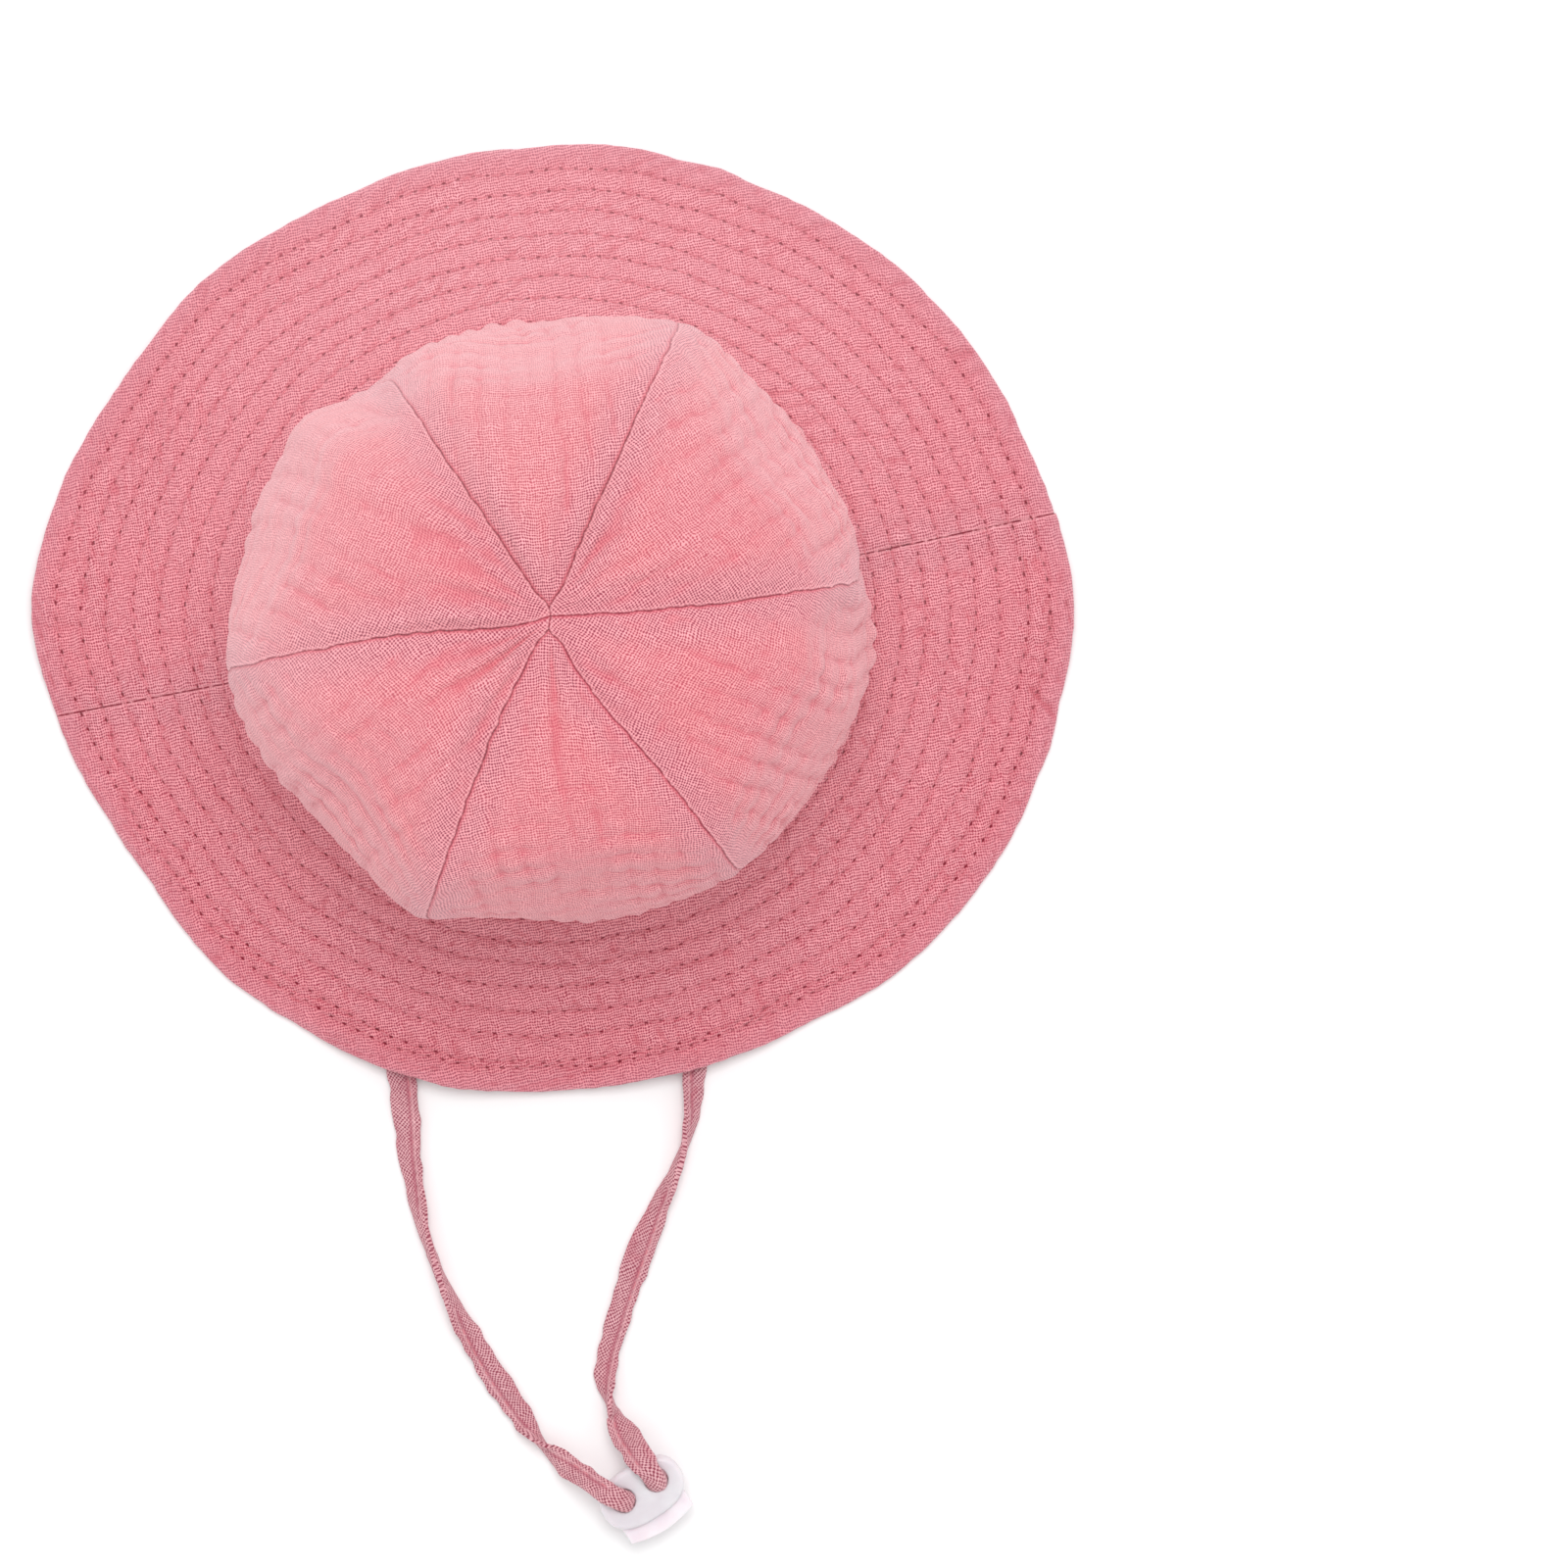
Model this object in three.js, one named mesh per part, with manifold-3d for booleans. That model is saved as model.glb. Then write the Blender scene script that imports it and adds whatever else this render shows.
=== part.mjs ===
// Baby bucket hat in muslin: a crown of six wedge panels, a quilted brim in two halves, and a chin strap
// that runs from ear to ear through a plastic cord lock with a push button.
// Millimetres, +Z up. The hat rests by itself on z = 0 and the loose strap lies on the same surface.
// X runs through the side seams of the brim, at the ears; -Y is the side where the strap comes out.
// The origin is the middle of the hat's footprint, without the strap.
import * as THREE from "three";
import { mergeVertices } from "three/addons/utils/BufferGeometryUtils.js";
import Module from "manifold-3d";

const SEAM_GAP = 0.3; // left between neighbouring pieces of cloth
const OVAL_BEARING = -11; // the hat lies slightly oval: its long way, in degrees from +X

// Crown
const CROWN_THICKNESS = 1.8;
const SEAM_RADIUS = 75; // mean radius of the seam between crown and brim, on the outside of the crown
const SEAM_OVAL = 2; // how much longer than the mean that radius is along the long way
const SEAM_HEIGHT = 24; // top of the brim at that seam
const PANEL_COLUMNS = 8;
const PUFF_POWER = 3; // how squarely a panel bulges between its seams
const APEX_LEAN = { x: -1.2, y: 0.9 }; // how far the soft top leans off the middle

// Brim
const BRIM_THICKNESS = 2.4;
const RIM_RADIUS = 128.4;
const RIM_OVAL = 5.3;
const HEM_WIDTH = 6.3; // from the rim's edge to the first row of stitching
const STITCH_ROWS = 8;
const QUILT_PUFF = 0.35; // how far the cloth swells between two rows
const QUILT_PULL = 0.3; // how far a row of stitching pulls it in
const RIM_EDGE_THICKNESS = 1.5;
const FLAT_SHARE = 0.115; // the outer share of the brim that lies flat on the surface
const BRIM_CURVE = 1.12; // 1 is a straight cone; more makes the brim flare towards the rim
const REST_MARGIN = 0.6; // lifts of the rim below this are pressed flat by the hat's weight
const BRIM_COLUMNS = 36;

// Cord lock
const LOCK_PLACE = { x: -22.5, y: -226.6, z: 4.4 }; // middle of the hole line, underside of the body
const LOCK_BEARING = 21.7; // direction of the hole line
const LOCK = { halfLength: 11.6, halfWidth: 7.5, thickness: 5.8, edge: 1.1, wall: 1 };
const LOCK_SQUARENESS = 2.5; // 2 is an ellipse; more makes the body's outline squarer
const LOCK_OFFSET = -1; // the body's middle lies this far from the hole line, towards the button
const HOLE = { spacing: 10, radius: 3.1, sides: 16 };
const BUTTON = { halfWidth: 9.5, thickness: 3, edge: 0.5, cornerReach: 10.9, reach: 12.6, travel: 1.8 };
const SLOT_CLEARANCE = 0.3;
const OUTLINE_STEPS = 28;

const CLOTH = { color: 0xe08b98, roughness: 0.95, metalness: 0 };
const BRIM_CLOTH = { color: 0xd9818d, roughness: 0.95, metalness: 0 };
const PLASTIC = { color: 0xeae4ea, roughness: 0.35, metalness: 0 };

// The crown's six seams: where each one starts at the brim and where it crosses the shoulder, in degrees.
const CROWN_SEAMS = [
  { base: 0, shoulder: -4 },
  { base: 60, shoulder: 55 },
  { base: 120, shoulder: 114.5 },
  { base: 180, shoulder: 179 },
  { base: 240, shoulder: 236.5 },
  { base: 300, shoulder: 295 },
];

// Levels of the crown from the brim seam to the top. height and radius are at the seams; out and up are
// how far the middle of a panel stands off them; turn is how far the seams have gone from base to shoulder;
// dent is how much of the shoulder's dents shows.
const CROWN_LEVELS = [
  { height: 0, radius: 75, out: 0, up: 0, turn: 0, dent: 0 },
  { height: 5, radius: 75.8, out: 0.8, up: 0, turn: 0.02, dent: 0 },
  { height: 11, radius: 75.9, out: 1.7, up: 0, turn: 0.06, dent: 0.05 },
  { height: 17, radius: 74, out: 0.7, up: 0, turn: 0.12, dent: 0.1 },
  { height: 23, radius: 74.7, out: 1.6, up: 0, turn: 0.2, dent: 0.2 },
  { height: 32, radius: 75.3, out: 1.7, up: 0, turn: 0.35, dent: 0.35 },
  { height: 43, radius: 75.8, out: 1.2, up: 0, turn: 0.55, dent: 0.55 },
  { height: 54, radius: 76.6, out: 0, up: 0, turn: 0.8, dent: 0.8 },
  { height: 63, radius: 77.8, out: -2, up: 0, turn: 0.95, dent: 0.95 },
  { height: 69, radius: 78.3, out: -3.2, up: 0.3, turn: 1, dent: 1 },
  { height: 74, radius: 76.4, out: -3.2, up: 1.5, turn: 1, dent: 1 },
  { height: 79, radius: 70.4, out: -2, up: 2.4, turn: 1, dent: 0.85 },
  { height: 83.5, radius: 59.6, out: -0.8, up: 3, turn: 1, dent: 0.6 },
  { height: 86.8, radius: 46, out: 0, up: 3.2, turn: 1, dent: 0.35 },
  { height: 88.8, radius: 31, out: 0, up: 2.8, turn: 1, dent: 0.2 },
  { height: 89.4, radius: 17, out: 0, up: 1.8, turn: 1, dent: 0.1 },
  { height: 88.6, radius: 7, out: 0, up: 0.8, turn: 1, dent: 0 },
  { height: 87.6, radius: 1.4, out: 0, up: 0, turn: 1, dent: 0 },
];

// Where the shoulder of the crown is pushed in or stands out: direction, reach outwards, spread in degrees.
const SHOULDER_DENTS = [
  { at: 55, reach: 2.8, spread: 10 },
  { at: 86, reach: -1.2, spread: 12 },
  { at: 116, reach: -6, spread: 11 },
  { at: 139, reach: 2, spread: 8 },
  { at: 238, reach: 3, spread: 11 },
  { at: 265, reach: 1.2, spread: 9 },
  { at: 325, reach: 2.2, spread: 13 },
  { at: 356, reach: -2.4, spread: 12 },
];

// Folds of the rim: direction, reach outwards, spread in degrees, and how far the rim lifts off the surface.
const RIM_FOLDS = [
  { at: 13, reach: -0.9, spread: 9, lift: 0 },
  { at: 70, reach: 1.1, spread: 14, lift: 0 },
  { at: 112, reach: -2, spread: 14, lift: 0 },
  { at: 141, reach: -1.6, spread: 8, lift: 1.8 },
  { at: 166, reach: 3.4, spread: 11, lift: 3.4 },
  { at: 197, reach: -4.4, spread: 15, lift: 0 },
  { at: 242, reach: 1.2, spread: 14, lift: 5.2 },
  { at: 274, reach: -0.9, spread: 13, lift: 5.2 },
  { at: 290, reach: -1.3, spread: 10, lift: 0 },
  { at: 306, reach: 0.6, spread: 8, lift: 0 },
  { at: 322, reach: 0.6, spread: 12, lift: 0 },
  { at: 351, reach: 1.5, spread: 10, lift: 2.4 },
];

// The chin strap's centre line from the left ear to the right ear. across is the bearing of its width, and
// it is wide and flat where it lies free, narrower where it twists, and bunched up in the cord lock.
const STRAP_ROUTE = [
  { x: -73.05, y: -5.8, z: 27.5, across: 90, wide: 7.4, thick: 1.9 },
  { x: -72.95, y: -7.2, z: 15, across: 84, wide: 7.4, thick: 1.9 },
  { x: -72.4, y: -15, z: 4.2, across: 40, wide: 7.2, thick: 1.9 },
  { x: -70, y: -32, z: 1, across: 8, wide: 7.4, thick: 1.9 },
  { x: -66, y: -60, z: 1, across: 7, wide: 7.4, thick: 1.9 },
  { x: -63, y: -88, z: 1, across: 3, wide: 7.4, thick: 1.9 },
  { x: -62.9, y: -112, z: 1, across: -3, wide: 7.4, thick: 1.9 },
  { x: -64.9, y: -134, z: 1, across: -3, wide: 7.4, thick: 1.9 },
  { x: -64.9, y: -149, z: 1, across: 3, wide: 7.2, thick: 1.9 },
  { x: -62.9, y: -163, z: 1.3, across: 13, wide: 5.4, thick: 2.5 },
  { x: -57.6, y: -182, z: 1, across: 18, wide: 7.2, thick: 1.9 },
  { x: -49.7, y: -201.8, z: 1.1, across: 23, wide: 6.4, thick: 2.1 },
  { x: -46, y: -209.6, z: 1.8, across: 30, wide: 5.4, thick: 2.4 },
  { x: -40, y: -217, z: 5.2, across: 42, wide: 6.6, thick: 2.1 },
  { x: -33.6, y: -222.8, z: 10.6, across: 46, wide: 6.4, thick: 2.2 },
  { x: -29.6, y: -226.3, z: 12.4, across: 46, wide: 5, thick: 2.6 },
  { x: -27.15, y: -228.45, z: 9.8, across: 60, wide: 3.4, thick: 3.3 },
  { x: -27.15, y: -228.45, z: 5.8, across: 90, wide: 3.3, thick: 3.3 },
  { x: -26.1, y: -228.05, z: 2.9, across: 112, wide: 3.8, thick: 2.8 },
  { x: -22.5, y: -226.6, z: 1.3, across: 112, wide: 5.4, thick: 2.3 },
  { x: -18.9, y: -225.15, z: 2.9, across: 112, wide: 3.8, thick: 2.8 },
  { x: -17.85, y: -224.75, z: 5.8, across: 135, wide: 3.3, thick: 3.3 },
  { x: -17.85, y: -224.75, z: 9.8, across: 175, wide: 3.4, thick: 3.3 },
  { x: -19.1, y: -221.8, z: 12.4, across: 205, wide: 5, thick: 2.6 },
  { x: -21.3, y: -217.1, z: 10.6, across: 205, wide: 6.4, thick: 2.2 },
  { x: -23.9, y: -211.6, z: 5.4, across: 203, wide: 7, thick: 2 },
  { x: -25.9, y: -204.6, z: 1.8, across: 192, wide: 5.4, thick: 2.4 },
  { x: -25.6, y: -196, z: 1.1, across: 168, wide: 6.6, thick: 2 },
  { x: -19.5, y: -182.6, z: 1, across: 155, wide: 7.4, thick: 1.9 },
  { x: -8.5, y: -163.3, z: 1, across: 148, wide: 7.4, thick: 1.9 },
  { x: 4.4, y: -144.4, z: 1.3, across: 148, wide: 5.6, thick: 2.5 },
  { x: 9.2, y: -134.5, z: 1, across: 158, wide: 7.2, thick: 1.9 },
  { x: 13.3, y: -120.5, z: 1, across: 158, wide: 7.4, thick: 1.9 },
  { x: 24, y: -98, z: 1, across: 149, wide: 7.4, thick: 1.9 },
  { x: 41, y: -71, z: 1, across: 147, wide: 7.4, thick: 1.9 },
  { x: 58, y: -45, z: 1, across: 150, wide: 7.4, thick: 1.9 },
  { x: 68.5, y: -26, z: 1.3, across: 156, wide: 7.4, thick: 1.9 },
  { x: 72.4, y: -14, z: 5, across: 138, wide: 7.2, thick: 1.9 },
  { x: 73.2, y: -7.2, z: 15, across: 98, wide: 7.4, thick: 1.9 },
  { x: 73.4, y: -5.8, z: 27.5, across: 90, wide: 7.4, thick: 1.9 },
];
const STRAP_STEPS_PER_POINT = 2;
const STRAP_SIDES = 8;
const STRAP_CORNER = 0.7; // 1 is an ellipse; less makes the strap's section squarer

const wasm = await Module();
wasm.setup();

// 1 along the hat's long way, -1 across it.
function ovalShare(bearing) {
  return Math.cos(2 * THREE.MathUtils.degToRad(bearing - OVAL_BEARING));
}

// The sum of a table's soft bumps at a bearing, for one of its columns.
function foldSum(folds, column, bearing) {
  let sum = 0;
  for (const fold of folds) {
    const away = THREE.MathUtils.euclideanModulo(bearing - fold.at + 180, 360) - 180;
    sum += fold[column] * Math.exp(-((away / fold.spread) ** 2));
  }
  return sum;
}

function polar(radius, bearing, height) {
  const turn = THREE.MathUtils.degToRad(bearing);
  return new THREE.Vector3(radius * Math.cos(turn), radius * Math.sin(turn), height);
}

// Half a seam gap as an angle at a radius.
function gapBearing(radius) {
  return THREE.MathUtils.radToDeg(Math.asin(SEAM_GAP / 2 / radius));
}

// A wall of cloth between two sheets: outer(i, j) and inner(i, j) give the point of column i and row j.
// Columns run counter-clockwise seen from above and rows climb, so the outer sheet faces out.
function clothWall(columns, rows, outer, inner) {
  const positions = [];
  const index = [];
  const across = columns + 1;
  const sheet = across * (rows + 1);
  for (const side of [outer, inner])
    for (let j = 0; j <= rows; j++)
      for (let i = 0; i <= columns; i++) positions.push(...side(i, j).toArray());
  const quad = (a, b, c, d) => index.push(a, b, c, a, c, d);
  for (let j = 0; j < rows; j++)
    for (let i = 0; i < columns; i++) {
      const a = j * across + i;
      const b = sheet + a;
      quad(a, a + 1, a + 1 + across, a + across);
      quad(b, b + across, b + 1 + across, b + 1);
    }
  const top = rows * across;
  for (let i = 0; i < columns; i++) {
    quad(i, sheet + i, sheet + i + 1, i + 1);
    quad(top + i, top + i + 1, sheet + top + i + 1, sheet + top + i);
  }
  for (let j = 0; j < rows; j++) {
    const start = j * across;
    const end = start + columns;
    quad(start, start + across, sheet + start + across, sheet + start);
    quad(end, sheet + end, sheet + end + across, end + across);
  }
  return indexedGeometry(positions, index);
}

function indexedGeometry(positions, index) {
  const geometry = new THREE.BufferGeometry();
  geometry.setAttribute("position", new THREE.Float32BufferAttribute(positions, 3));
  geometry.setIndex(index);
  geometry.computeVertexNormals();
  return geometry;
}

function seamRadius(bearing) {
  return SEAM_RADIUS + SEAM_OVAL * ovalShare(bearing);
}

function rimRadius(bearing) {
  return RIM_RADIUS + RIM_OVAL * ovalShare(bearing) + foldSum(RIM_FOLDS, "reach", bearing);
}

// A point of the brim at a stop between the rim (0) and the crown seam (STITCH_ROWS + 1). Whole stops are
// rows of stitching, where the cloth is pulled in, and it swells between them.
function brimPoint(bearing, stop, onTop) {
  const rim = rimRadius(bearing);
  const width = rim - seamRadius(bearing) + CROWN_THICKNESS;
  const past = Math.max(0, stop - 1) / STITCH_ROWS;
  const distance = Math.min(stop, 1) * HEM_WIDTH + past * (width - HEM_WIDTH);
  const share = distance / width;
  const rise = Math.max(0, (share - FLAT_SHARE) / (1 - FLAT_SHARE)) ** BRIM_CURVE;
  const lift = Math.max(0, foldSum(RIM_FOLDS, "lift", bearing) - REST_MARGIN);
  const under = lift * (1 - share) ** 2 + (SEAM_HEIGHT - BRIM_THICKNESS) * rise;
  const atEdge = stop === 0;
  const atSeam = stop === STITCH_ROWS + 1;
  const quilt = Number.isInteger(stop) ? -QUILT_PULL : QUILT_PUFF;
  const swollen = BRIM_THICKNESS + (atSeam ? 0 : quilt);
  const thickness = atEdge ? RIM_EDGE_THICKNESS : swollen;
  return polar(rim - distance, bearing, under + (onTop ? thickness : 0));
}

// Half of the brim, between the two ear seams.
function brimHalf(start) {
  const rows = 2 * (STITCH_ROWS + 1);
  const sheet = (onTop) => (i, j) => {
    const bearing = start + (180 * i) / BRIM_COLUMNS;
    const clear = gapBearing(seamRadius(bearing));
    const pulledIn = (i === 0 ? 1 : 0) - (i === BRIM_COLUMNS ? 1 : 0);
    return brimPoint(bearing + pulledIn * clear, j / 2, onTop);
  };
  return clothWall(BRIM_COLUMNS, rows, sheet(true), sheet(false));
}

// The crown's outward direction at a level, as [radial, up], square to the line through its neighbours.
function levelNormal(level) {
  const below = CROWN_LEVELS[Math.max(0, level - 1)];
  const above = CROWN_LEVELS[Math.min(CROWN_LEVELS.length - 1, level + 1)];
  const climb = above.height - below.height;
  const draw = above.radius - below.radius;
  const length = Math.hypot(climb, draw);
  return [climb / length, -draw / length];
}

// One wedge panel of the crown, from its right seam to its left seam.
function crownPanel(number) {
  const right = CROWN_SEAMS[number];
  const left = CROWN_SEAMS[(number + 1) % CROWN_SEAMS.length];
  const lap = number + 1 < CROWN_SEAMS.length ? 0 : 360;
  const top = CROWN_LEVELS[CROWN_LEVELS.length - 1];
  const sheet = (depth) => (i, j) => {
    const level = CROWN_LEVELS[j];
    const clear = gapBearing(level.radius);
    const from = THREE.MathUtils.lerp(right.base, right.shoulder, level.turn) + clear;
    const to = THREE.MathUtils.lerp(left.base, left.shoulder, level.turn) + lap - clear;
    const bearing = THREE.MathUtils.lerp(from, to, i / PANEL_COLUMNS);
    const bulge = 1 - Math.abs((2 * i) / PANEL_COLUMNS - 1) ** PUFF_POWER;
    const body = Math.min(1, level.radius / SEAM_RADIUS);
    const shape = SEAM_OVAL * ovalShare(bearing) * body;
    const dent = level.dent * foldSum(SHOULDER_DENTS, "reach", bearing);
    const [outward, upward] = levelNormal(j);
    const radius = level.radius + shape + dent + level.out * bulge - depth * outward;
    const height = SEAM_HEIGHT + SEAM_GAP + level.height + level.up * bulge - depth * upward;
    const lean = level.height / top.height;
    const point = polar(radius, bearing, height);
    return point.add(new THREE.Vector3(APEX_LEAN.x * lean, APEX_LEAN.y * lean, 0));
  };
  return clothWall(PANEL_COLUMNS, CROWN_LEVELS.length - 1, sheet(0), sheet(CROWN_THICKNESS));
}

// The chin strap: a flattened section carried along its route, turned so that its width keeps to `across`.
function chinStrap() {
  const points = STRAP_ROUTE.map(({ x, y, z }) => new THREE.Vector3(x, y, z));
  const curve = new THREE.CatmullRomCurve3(points, false, "centripetal");
  const last = STRAP_ROUTE.length - 1;
  const steps = last * STRAP_STEPS_PER_POINT;
  const positions = [];
  const index = [];
  const ring = (step, side) => step * STRAP_SIDES + (side % STRAP_SIDES);
  for (let step = 0; step <= steps; step++) {
    const place = step / STRAP_STEPS_PER_POINT;
    const before = STRAP_ROUTE[Math.min(last - 1, Math.floor(place))];
    const after = STRAP_ROUTE[Math.min(last, Math.floor(place) + 1)];
    const share = Math.min(1, place - Math.min(last - 1, Math.floor(place)));
    const mix = (column) => THREE.MathUtils.lerp(before[column], after[column], share);
    const centre = curve.getPoint(step / steps);
    const along = curve.getTangent(step / steps);
    const across = polar(1, mix("across"), 0);
    across.addScaledVector(along, -across.dot(along)).normalize();
    const up = new THREE.Vector3().crossVectors(along, across);
    for (let side = 0; side < STRAP_SIDES; side++) {
      const turn = (2 * Math.PI * side) / STRAP_SIDES;
      const squared = (value) => Math.sign(value) * Math.abs(value) ** STRAP_CORNER;
      const point = centre.clone();
      point.addScaledVector(across, (mix("wide") / 2) * squared(Math.cos(turn)));
      point.addScaledVector(up, (mix("thick") / 2) * squared(Math.sin(turn)));
      positions.push(...point.toArray());
      if (step === steps) continue;
      index.push(ring(step, side), ring(step, side + 1), ring(step + 1, side + 1));
      index.push(ring(step, side), ring(step + 1, side + 1), ring(step + 1, side));
    }
  }
  for (let side = 1; side < STRAP_SIDES - 1; side++) {
    index.push(ring(0, 0), ring(0, side + 1), ring(0, side));
    index.push(ring(steps, 0), ring(steps, side), ring(steps, side + 1));
  }
  return indexedGeometry(positions, index);
}

function asSolid(geometry) {
  const bare = geometry.clone();
  bare.deleteAttribute("normal");
  bare.deleteAttribute("uv");
  const merged = mergeVertices(bare, 1e-4);
  const vertProperties = merged.getAttribute("position").array;
  const triVerts = new Uint32Array(merged.getIndex().array);
  return new wasm.Manifold(new wasm.Mesh({ numProp: 3, vertProperties, triVerts }));
}

function asGeometry(solid) {
  const mesh = solid.getMesh();
  return indexedGeometry(mesh.vertProperties, Array.from(mesh.triVerts));
}

// Half of the cord lock's rounded outline, as its distance from the long middle line at x.
function lockReach(x, halfLength, halfWidth) {
  return halfWidth * Math.max(0, 1 - Math.abs(x / halfLength) ** LOCK_SQUARENESS) ** (1 / LOCK_SQUARENESS);
}

// A closed outline of the cord lock's rounded shape, smaller all round by `inset`.
function lockOutline(inset) {
  const halfLength = LOCK.halfLength - inset;
  const halfWidth = LOCK.halfWidth - inset;
  const points = [];
  for (let step = 0; step < OUTLINE_STEPS; step++) {
    const turn = (2 * Math.PI * step) / OUTLINE_STEPS;
    const squared = (value) => Math.sign(value) * Math.abs(value) ** (2 / LOCK_SQUARENESS);
    const x = halfLength * squared(Math.cos(turn));
    points.push(new THREE.Vector2(x, LOCK_OFFSET + halfWidth * squared(Math.sin(turn))));
  }
  return new THREE.Shape(points);
}

// A plate of the outline with rounded edges, standing on z = 0.
function roundedPlate(shape, thickness, edge) {
  const depth = thickness - 2 * edge;
  const bevel = { bevelEnabled: true, bevelThickness: edge, bevelSize: edge, bevelSegments: 2 };
  const plate = new THREE.ExtrudeGeometry(shape, { depth, steps: 1, curveSegments: 8, ...bevel });
  return plate.translate(0, 0, edge);
}

function holeCutter(x, y) {
  const length = 4 * LOCK.thickness;
  const cutter = new THREE.CylinderGeometry(HOLE.radius, HOLE.radius, length, HOLE.sides);
  return asSolid(cutter.rotateX(Math.PI / 2).translate(x, y, 0));
}

// The cord lock's body: a rounded plate with two holes and a slot that is open towards the button.
function lockBody() {
  const slotHeight = BUTTON.thickness + 2 * SLOT_CLEARANCE;
  const slotFloor = (LOCK.thickness - slotHeight) / 2;
  const slotHalfWidth = BUTTON.halfWidth + SLOT_CLEARANCE;
  const flat = { depth: slotHeight, bevelEnabled: false };
  const pocket = new THREE.ExtrudeGeometry(lockOutline(LOCK.wall), flat);
  const mouth = new THREE.BoxGeometry(2 * slotHalfWidth, 2 * LOCK.halfWidth, slotHeight);
  pocket.translate(0, 0, slotFloor);
  mouth.translate(0, LOCK_OFFSET - LOCK.halfWidth, slotFloor + slotHeight / 2);
  let body = asSolid(roundedPlate(lockOutline(LOCK.edge), LOCK.thickness, LOCK.edge));
  for (const side of [-1, 1]) body = body.subtract(holeCutter((side * HOLE.spacing) / 2, 0));
  body = body.subtract(asSolid(pocket)).subtract(asSolid(mouth));
  return asGeometry(body);
}

// The push button: a plate that fills the slot, with a curved front outside the body, drawn where it rests.
// Its holes sit half its travel out of line with the body's, so that the spring clamps the strap.
function lockButton() {
  const edge = BUTTON.edge;
  const half = BUTTON.halfWidth - edge;
  const inset = LOCK.wall + SLOT_CLEARANCE + edge;
  const shape = new THREE.Shape();
  shape.moveTo(-half, -BUTTON.cornerReach + edge);
  const control = BUTTON.cornerReach - 2 * BUTTON.reach;
  shape.quadraticCurveTo(0, control + edge, half, -BUTTON.cornerReach + edge);
  const steps = OUTLINE_STEPS / 2;
  for (let step = 0; step <= steps; step++) {
    const x = half * Math.cos((Math.PI * step) / steps);
    const reach = lockReach(x, LOCK.halfLength - inset, LOCK.halfWidth - inset);
    shape.lineTo(x, LOCK_OFFSET - BUTTON.travel + reach);
  }
  let button = asSolid(roundedPlate(shape, BUTTON.thickness, edge));
  for (const side of [-1, 1])
    button = button.subtract(holeCutter((side * HOLE.spacing) / 2, -BUTTON.travel / 2));
  return asGeometry(button);
}

function piece(name, geometry, finish) {
  const mesh = new THREE.Mesh(geometry, new THREE.MeshStandardMaterial(finish));
  mesh.name = name;
  return mesh;
}

const hat = new THREE.Group();
for (let number = 0; number < CROWN_SEAMS.length; number++)
  hat.add(piece(`crown_panel_${number + 1}`, crownPanel(number), CLOTH));
hat.add(piece("brim_back", brimHalf(0), BRIM_CLOTH));
hat.add(piece("brim_front", brimHalf(180), BRIM_CLOTH));
hat.add(piece("chin_strap", chinStrap(), BRIM_CLOTH));

const cordLock = new THREE.Group();
cordLock.position.set(LOCK_PLACE.x, LOCK_PLACE.y, LOCK_PLACE.z);
cordLock.rotation.z = THREE.MathUtils.degToRad(LOCK_BEARING);
const button = piece("toggle_button", lockButton(), PLASTIC);
button.position.z = (LOCK.thickness - BUTTON.thickness) / 2;
cordLock.add(piece("toggle_body", lockBody(), PLASTIC), button);
hat.add(cordLock);

export default hat;
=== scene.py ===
"""A baby's bucket hat in crinkled double gauze: the looks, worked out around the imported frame.

The crown's panels, the quilted brim and the chin strap are surfaces over fine grids, from the same named
sizes as the solids they stand for. Sizes are in millimetres until a mesh is made. X runs through the side
seams of the brim, and the strap comes out on the side of -Y.
"""
import math

import bpy
import numpy as np
from mathutils import Matrix, Vector


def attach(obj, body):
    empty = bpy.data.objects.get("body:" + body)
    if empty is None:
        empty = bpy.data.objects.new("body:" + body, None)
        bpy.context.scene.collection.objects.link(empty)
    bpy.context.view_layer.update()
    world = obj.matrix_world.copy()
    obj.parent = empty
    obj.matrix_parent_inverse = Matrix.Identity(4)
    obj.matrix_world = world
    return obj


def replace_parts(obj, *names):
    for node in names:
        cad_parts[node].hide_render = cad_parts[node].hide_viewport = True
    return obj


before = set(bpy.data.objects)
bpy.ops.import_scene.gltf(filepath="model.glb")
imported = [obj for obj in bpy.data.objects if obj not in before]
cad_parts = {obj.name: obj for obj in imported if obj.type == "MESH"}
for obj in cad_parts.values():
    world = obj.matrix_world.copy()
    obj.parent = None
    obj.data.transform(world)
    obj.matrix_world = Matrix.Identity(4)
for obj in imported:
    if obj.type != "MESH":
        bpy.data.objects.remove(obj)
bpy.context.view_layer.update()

MM = 0.001
CLOTH_CORNER = math.radians(62)
PLASTIC_CORNER = math.radians(35)

# Shape of the hat, as the solids have it: bearings in degrees, sizes in millimetres
OVAL_BEARING = -11.0
CROWN_THICKNESS = 1.8
SEAM_RADIUS = 75.0
SEAM_OVAL = 2.0
SEAM_HEIGHT = 24.0
CROWN_CLEARANCE = 0.3
PUFF_POWER = 3.0
APEX_LEAN = (-1.5, 1.3)
BRIM_THICKNESS = 2.4
RIM_RADIUS = 127.9
RIM_OVAL = 5.3
HEM_WIDTH = 6.3
STITCH_ROWS = 8
FLAT_SHARE = 0.115
BRIM_CURVE = 1.12
REST_MARGIN = 0.6
HEM_ROUNDING = 1.3

# Bearings of the brim's two seams, and the bearings at which the crown and the brim are painted palest, as
# painted light
BRIM_SEAMS = (1.1, 179.9)
CROWN_LIT_BEARING = 120.0
BRIM_LIT_BEARING = 82.0

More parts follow.
